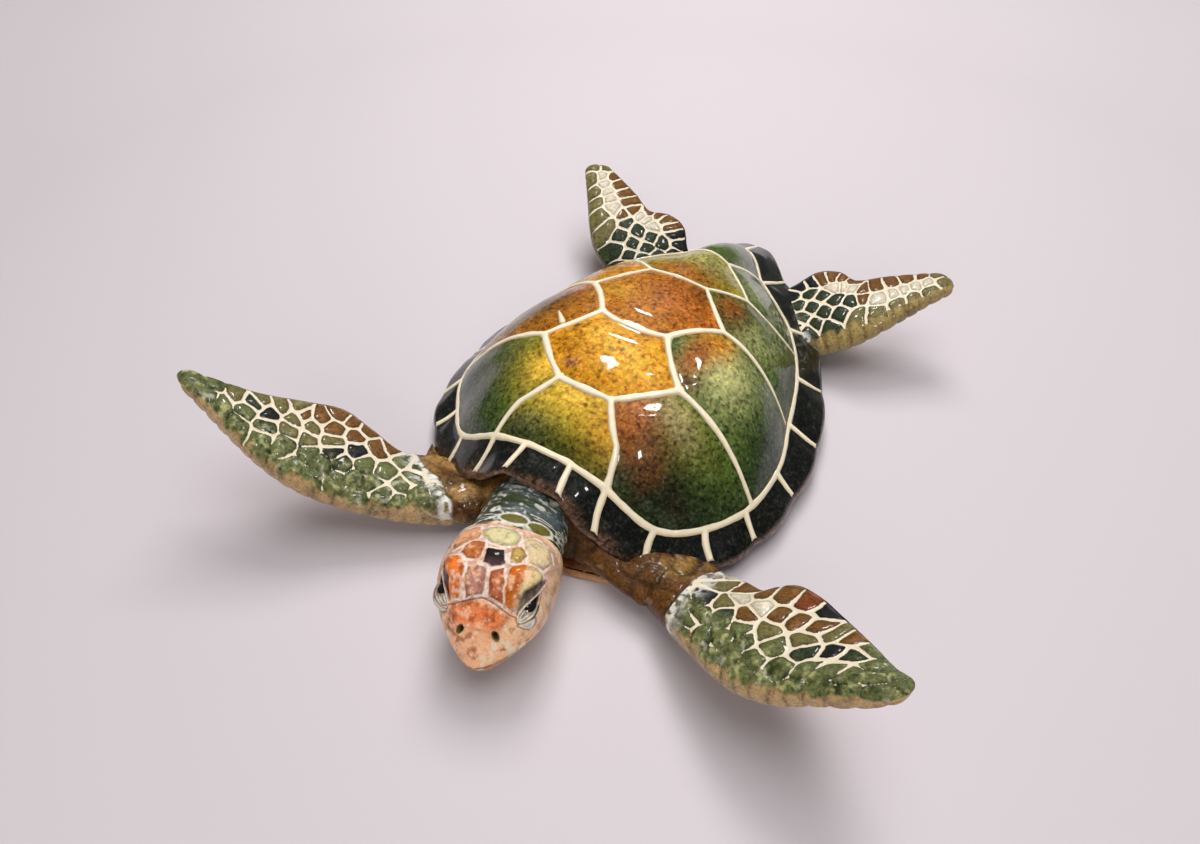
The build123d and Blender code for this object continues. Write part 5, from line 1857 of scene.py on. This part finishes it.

# %% [markdown]
# ## The finish of the body
#
# The body has the same folds and colours as the bare skin of the flippers, with painted
# shade in the creases and a painted highlight on the lumps, so the two grow into each
# other. It was hardly lacquered, so its coat is thin and its sheen is dull.

# %% Finish the body
body_color = np.concatenate([body_color, body_color[:1], body_color[-1:]])
body_skin = paint_material(
    "body_paint", grain=1300.0, dark=0.5, light=0.4, rough=0.48, coat=0.3, bump=0.35,
)
make_piece("folded_body", points, faces, body_skin, ["body"], body_color)

# %% [markdown]
# ## The belly plate
#
# The turtle rests on a flat plate. Its edge is rounded and its underside has the shallow
# seams of a turtle's belly, which are cut upward so that the plate still stands flat.

# %% Make the belly plate
BELLY_LENGTH, BELLY_WIDTH, BELLY_MIDDLE_Y, BELLY_THICKNESS = 110.0, 62.0, -9.0, 2.0
BELLY_ROUND, BELLY_ROWS, EDGE_ROWS = 360, 70, 14
belly_shares = np.array([
    (0, -1), (0.50, -0.96), (0.86, -0.86), (1, -0.62), (0.97, -0.20), (0.98, 0.20), (0.80, 0.62),
    (0.42, 0.92), (0, 1),
], float)
belly_places = belly_shares * (BELLY_WIDTH / 2, BELLY_LENGTH / 2)
belly_turn = np.arctan2(belly_places[:, 0], -belly_places[:, 1])
turn = np.linspace(-np.pi, np.pi, BELLY_ROUND, endpoint=False)
belly_reach = smooth(belly_turn, np.hypot(belly_places[:, 0], belly_places[:, 1]), np.abs(turn))
inward = np.linspace(0.02, 0.985, BELLY_ROWS)
edge_turn = np.linspace(-np.pi / 2, np.pi / 2, EDGE_ROWS)
half = BELLY_THICKNESS / 2
face_reach = inward[:, None] * belly_reach
rounded_edge = belly_reach - half + half * np.cos(edge_turn)[:, None]
reach = np.concatenate([face_reach, rounded_edge, face_reach[::-1]])
height = np.concatenate([
    np.zeros(BELLY_ROWS), half + half * np.sin(edge_turn), np.full(BELLY_ROWS, BELLY_THICKNESS),
])
height = np.broadcast_to(height[:, None], reach.shape)
plate = np.stack([reach * np.sin(turn), BELLY_MIDDLE_Y - reach * np.cos(turn), height], -1)
flat = plate.reshape(-1, 3)
belly_seams = [np.array([(0, -60), (0, 44)], float)]
# The seams across start from the one along the middle, and bend on their way out
for y, bend in ((-52, 4), (-37, 3), (-20, 1), (-3, -1), (14, -3), (30, -5)):
    for side in (1, -1):
        across = [(0, y), (18 * side, y + bend), (34 * side, y + bend + 2)]
        belly_seams.append(np.array(across, float))
seam_gaps = [near_line(flat[:, :2], line, np.full(len(line), 0.3), 3.0)[0] for line in belly_seams]
seam_gap = np.min(seam_gaps, axis=0)
underside = flat[:, 2] < 0.01
flat = flat + (0.3 * underside * step(0.5, -0.2, seam_gap))[:, None] * (0, 0, 1)
belly_color = painted(
    np.tile(srgb(178, 134, 96), (len(flat), 1)),
    (srgb(120, 66, 38), step(-0.2, 0.6, layered(flat, 5.0, 37))),
    (SHADE_AND_SEAM_BROWN, 0.8 * underside * step(0.5, -0.1, seam_gap)),
)
points, faces = closed_tube(flat.reshape(plate.shape))
belly_color = np.concatenate([belly_color, belly_color[:1], belly_color[-1:]])
belly_skin = paint_material(
    "belly_paint", grain=1000.0, dark=0.4, light=0.3, rough=0.5, coat=0.2, bump=0.3,
)
make_piece("belly_plate", points, faces, belly_skin, ["plastron"], belly_color)

# %% [markdown]
# ## The eyeballs and the dowels
#
# These keep their shapes from the frame. The eyeballs are nearly black under thick lacquer.
# The dowels are hidden in their holes, but they are still steel: a fine stretched noise
# gives them drawn streaks.

# %% Finish the eyeballs and the dowels
def noisy_material(name, dark, light, scale, stretch, metal, rough, coat):
    """Two colours mixed by a noise that may be stretched along one axis."""
    material = bpy.data.materials.new(name)
    material.use_nodes = True
    tree = material.node_tree
    shader = tree.nodes["Principled BSDF"]
    place = add_node(tree, "ShaderNodeTexCoord").outputs["Object"]
    scaled = add_node(tree, "ShaderNodeMapping", {"Vector": place, "Scale": stretch})
    pattern = rough_pattern(tree, scaled.outputs[0], scale, 4.0)
    color = mixed(tree, "MIX", pattern, (*dark, 1), (*light, 1))
    surface = {"Base Color": color, "Metallic": metal, "Roughness": rough, "Coat Weight": coat}
    connect(tree, shader, surface)
    return material


eye_gloss = noisy_material(
    "eye_gloss", dark=srgb(8, 6, 8), light=srgb(34, 20, 16), scale=900.0, stretch=(1, 1, 1),
    metal=0.0, rough=0.12, coat=1.0,
)
dowel_steel = noisy_material(
    "dowel_steel", dark=srgb(120, 122, 126), light=srgb(190, 192, 196), scale=700.0,
    stretch=(6, 1, 6), metal=1.0, rough=0.32, coat=0.0,
)
finishes = {"eye": eye_gloss, "pin": dowel_steel}
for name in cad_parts:
    finish = finishes.get(name.split("_")[-1])
    if finish:
        carried = bpy.data.objects[name]
        carried.data.materials.clear()
        carried.data.materials.append(finish)
        print(name, "gets", finish.name)

# %% [markdown]
# ## The floor
#
# The turtle stands on a pale lavender grey table top that runs out of the picture, so one
# large square is enough. Far off it glows a little as painted light, only for the camera,
# because the soft light falls away there faster than the room's light did in the photograph.

# %% Make the floor
FLOOR_SIZE = 4000.0
FLOOR_COLOR = (0.600, 0.548, 0.576, 1.0)
GLOW_START_M, GLOW_END_M, GLOW_STRENGTH = 0.25, 1.1, 0.90

half = FLOOR_SIZE / 2 * MM
floor_corners = [(-half, -half, 0), (half, -half, 0), (half, half, 0), (-half, half, 0)]
floor_mesh = bpy.data.meshes.new("floor")
floor_mesh.from_pydata(floor_corners, [], [(0, 1, 2, 3)])
floor = bpy.data.objects.new("floor", floor_mesh)
bpy.context.scene.collection.objects.link(floor)
table = bpy.data.materials.new("table_top")
table.use_nodes = True
tree = table.node_tree
place = add_node(tree, "ShaderNodeTexCoord").outputs["Object"]
far_off = add_node(tree, "ShaderNodeVectorMath", {0: place}, operation="LENGTH").outputs["Value"]
# Painted light: far off, the floor glows for the camera only
glow_range = {0: far_off, 1: GLOW_START_M, 2: GLOW_END_M, 3: 0.0, 4: GLOW_STRENGTH}
far_glow = add_node(tree, "ShaderNodeMapRange", glow_range).outputs[0]
eye_ray = add_node(tree, "ShaderNodeLightPath").outputs["Is Camera Ray"]
connect(tree, tree.nodes["Principled BSDF"], {
    "Base Color": FLOOR_COLOR, "Roughness": 0.55, "Emission Color": FLOOR_COLOR,
    "Emission Strength": calculate(tree, "MULTIPLY", far_glow, eye_ray),
})
floor_mesh.materials.append(table)
print("floor", FLOOR_SIZE, "mm wide")
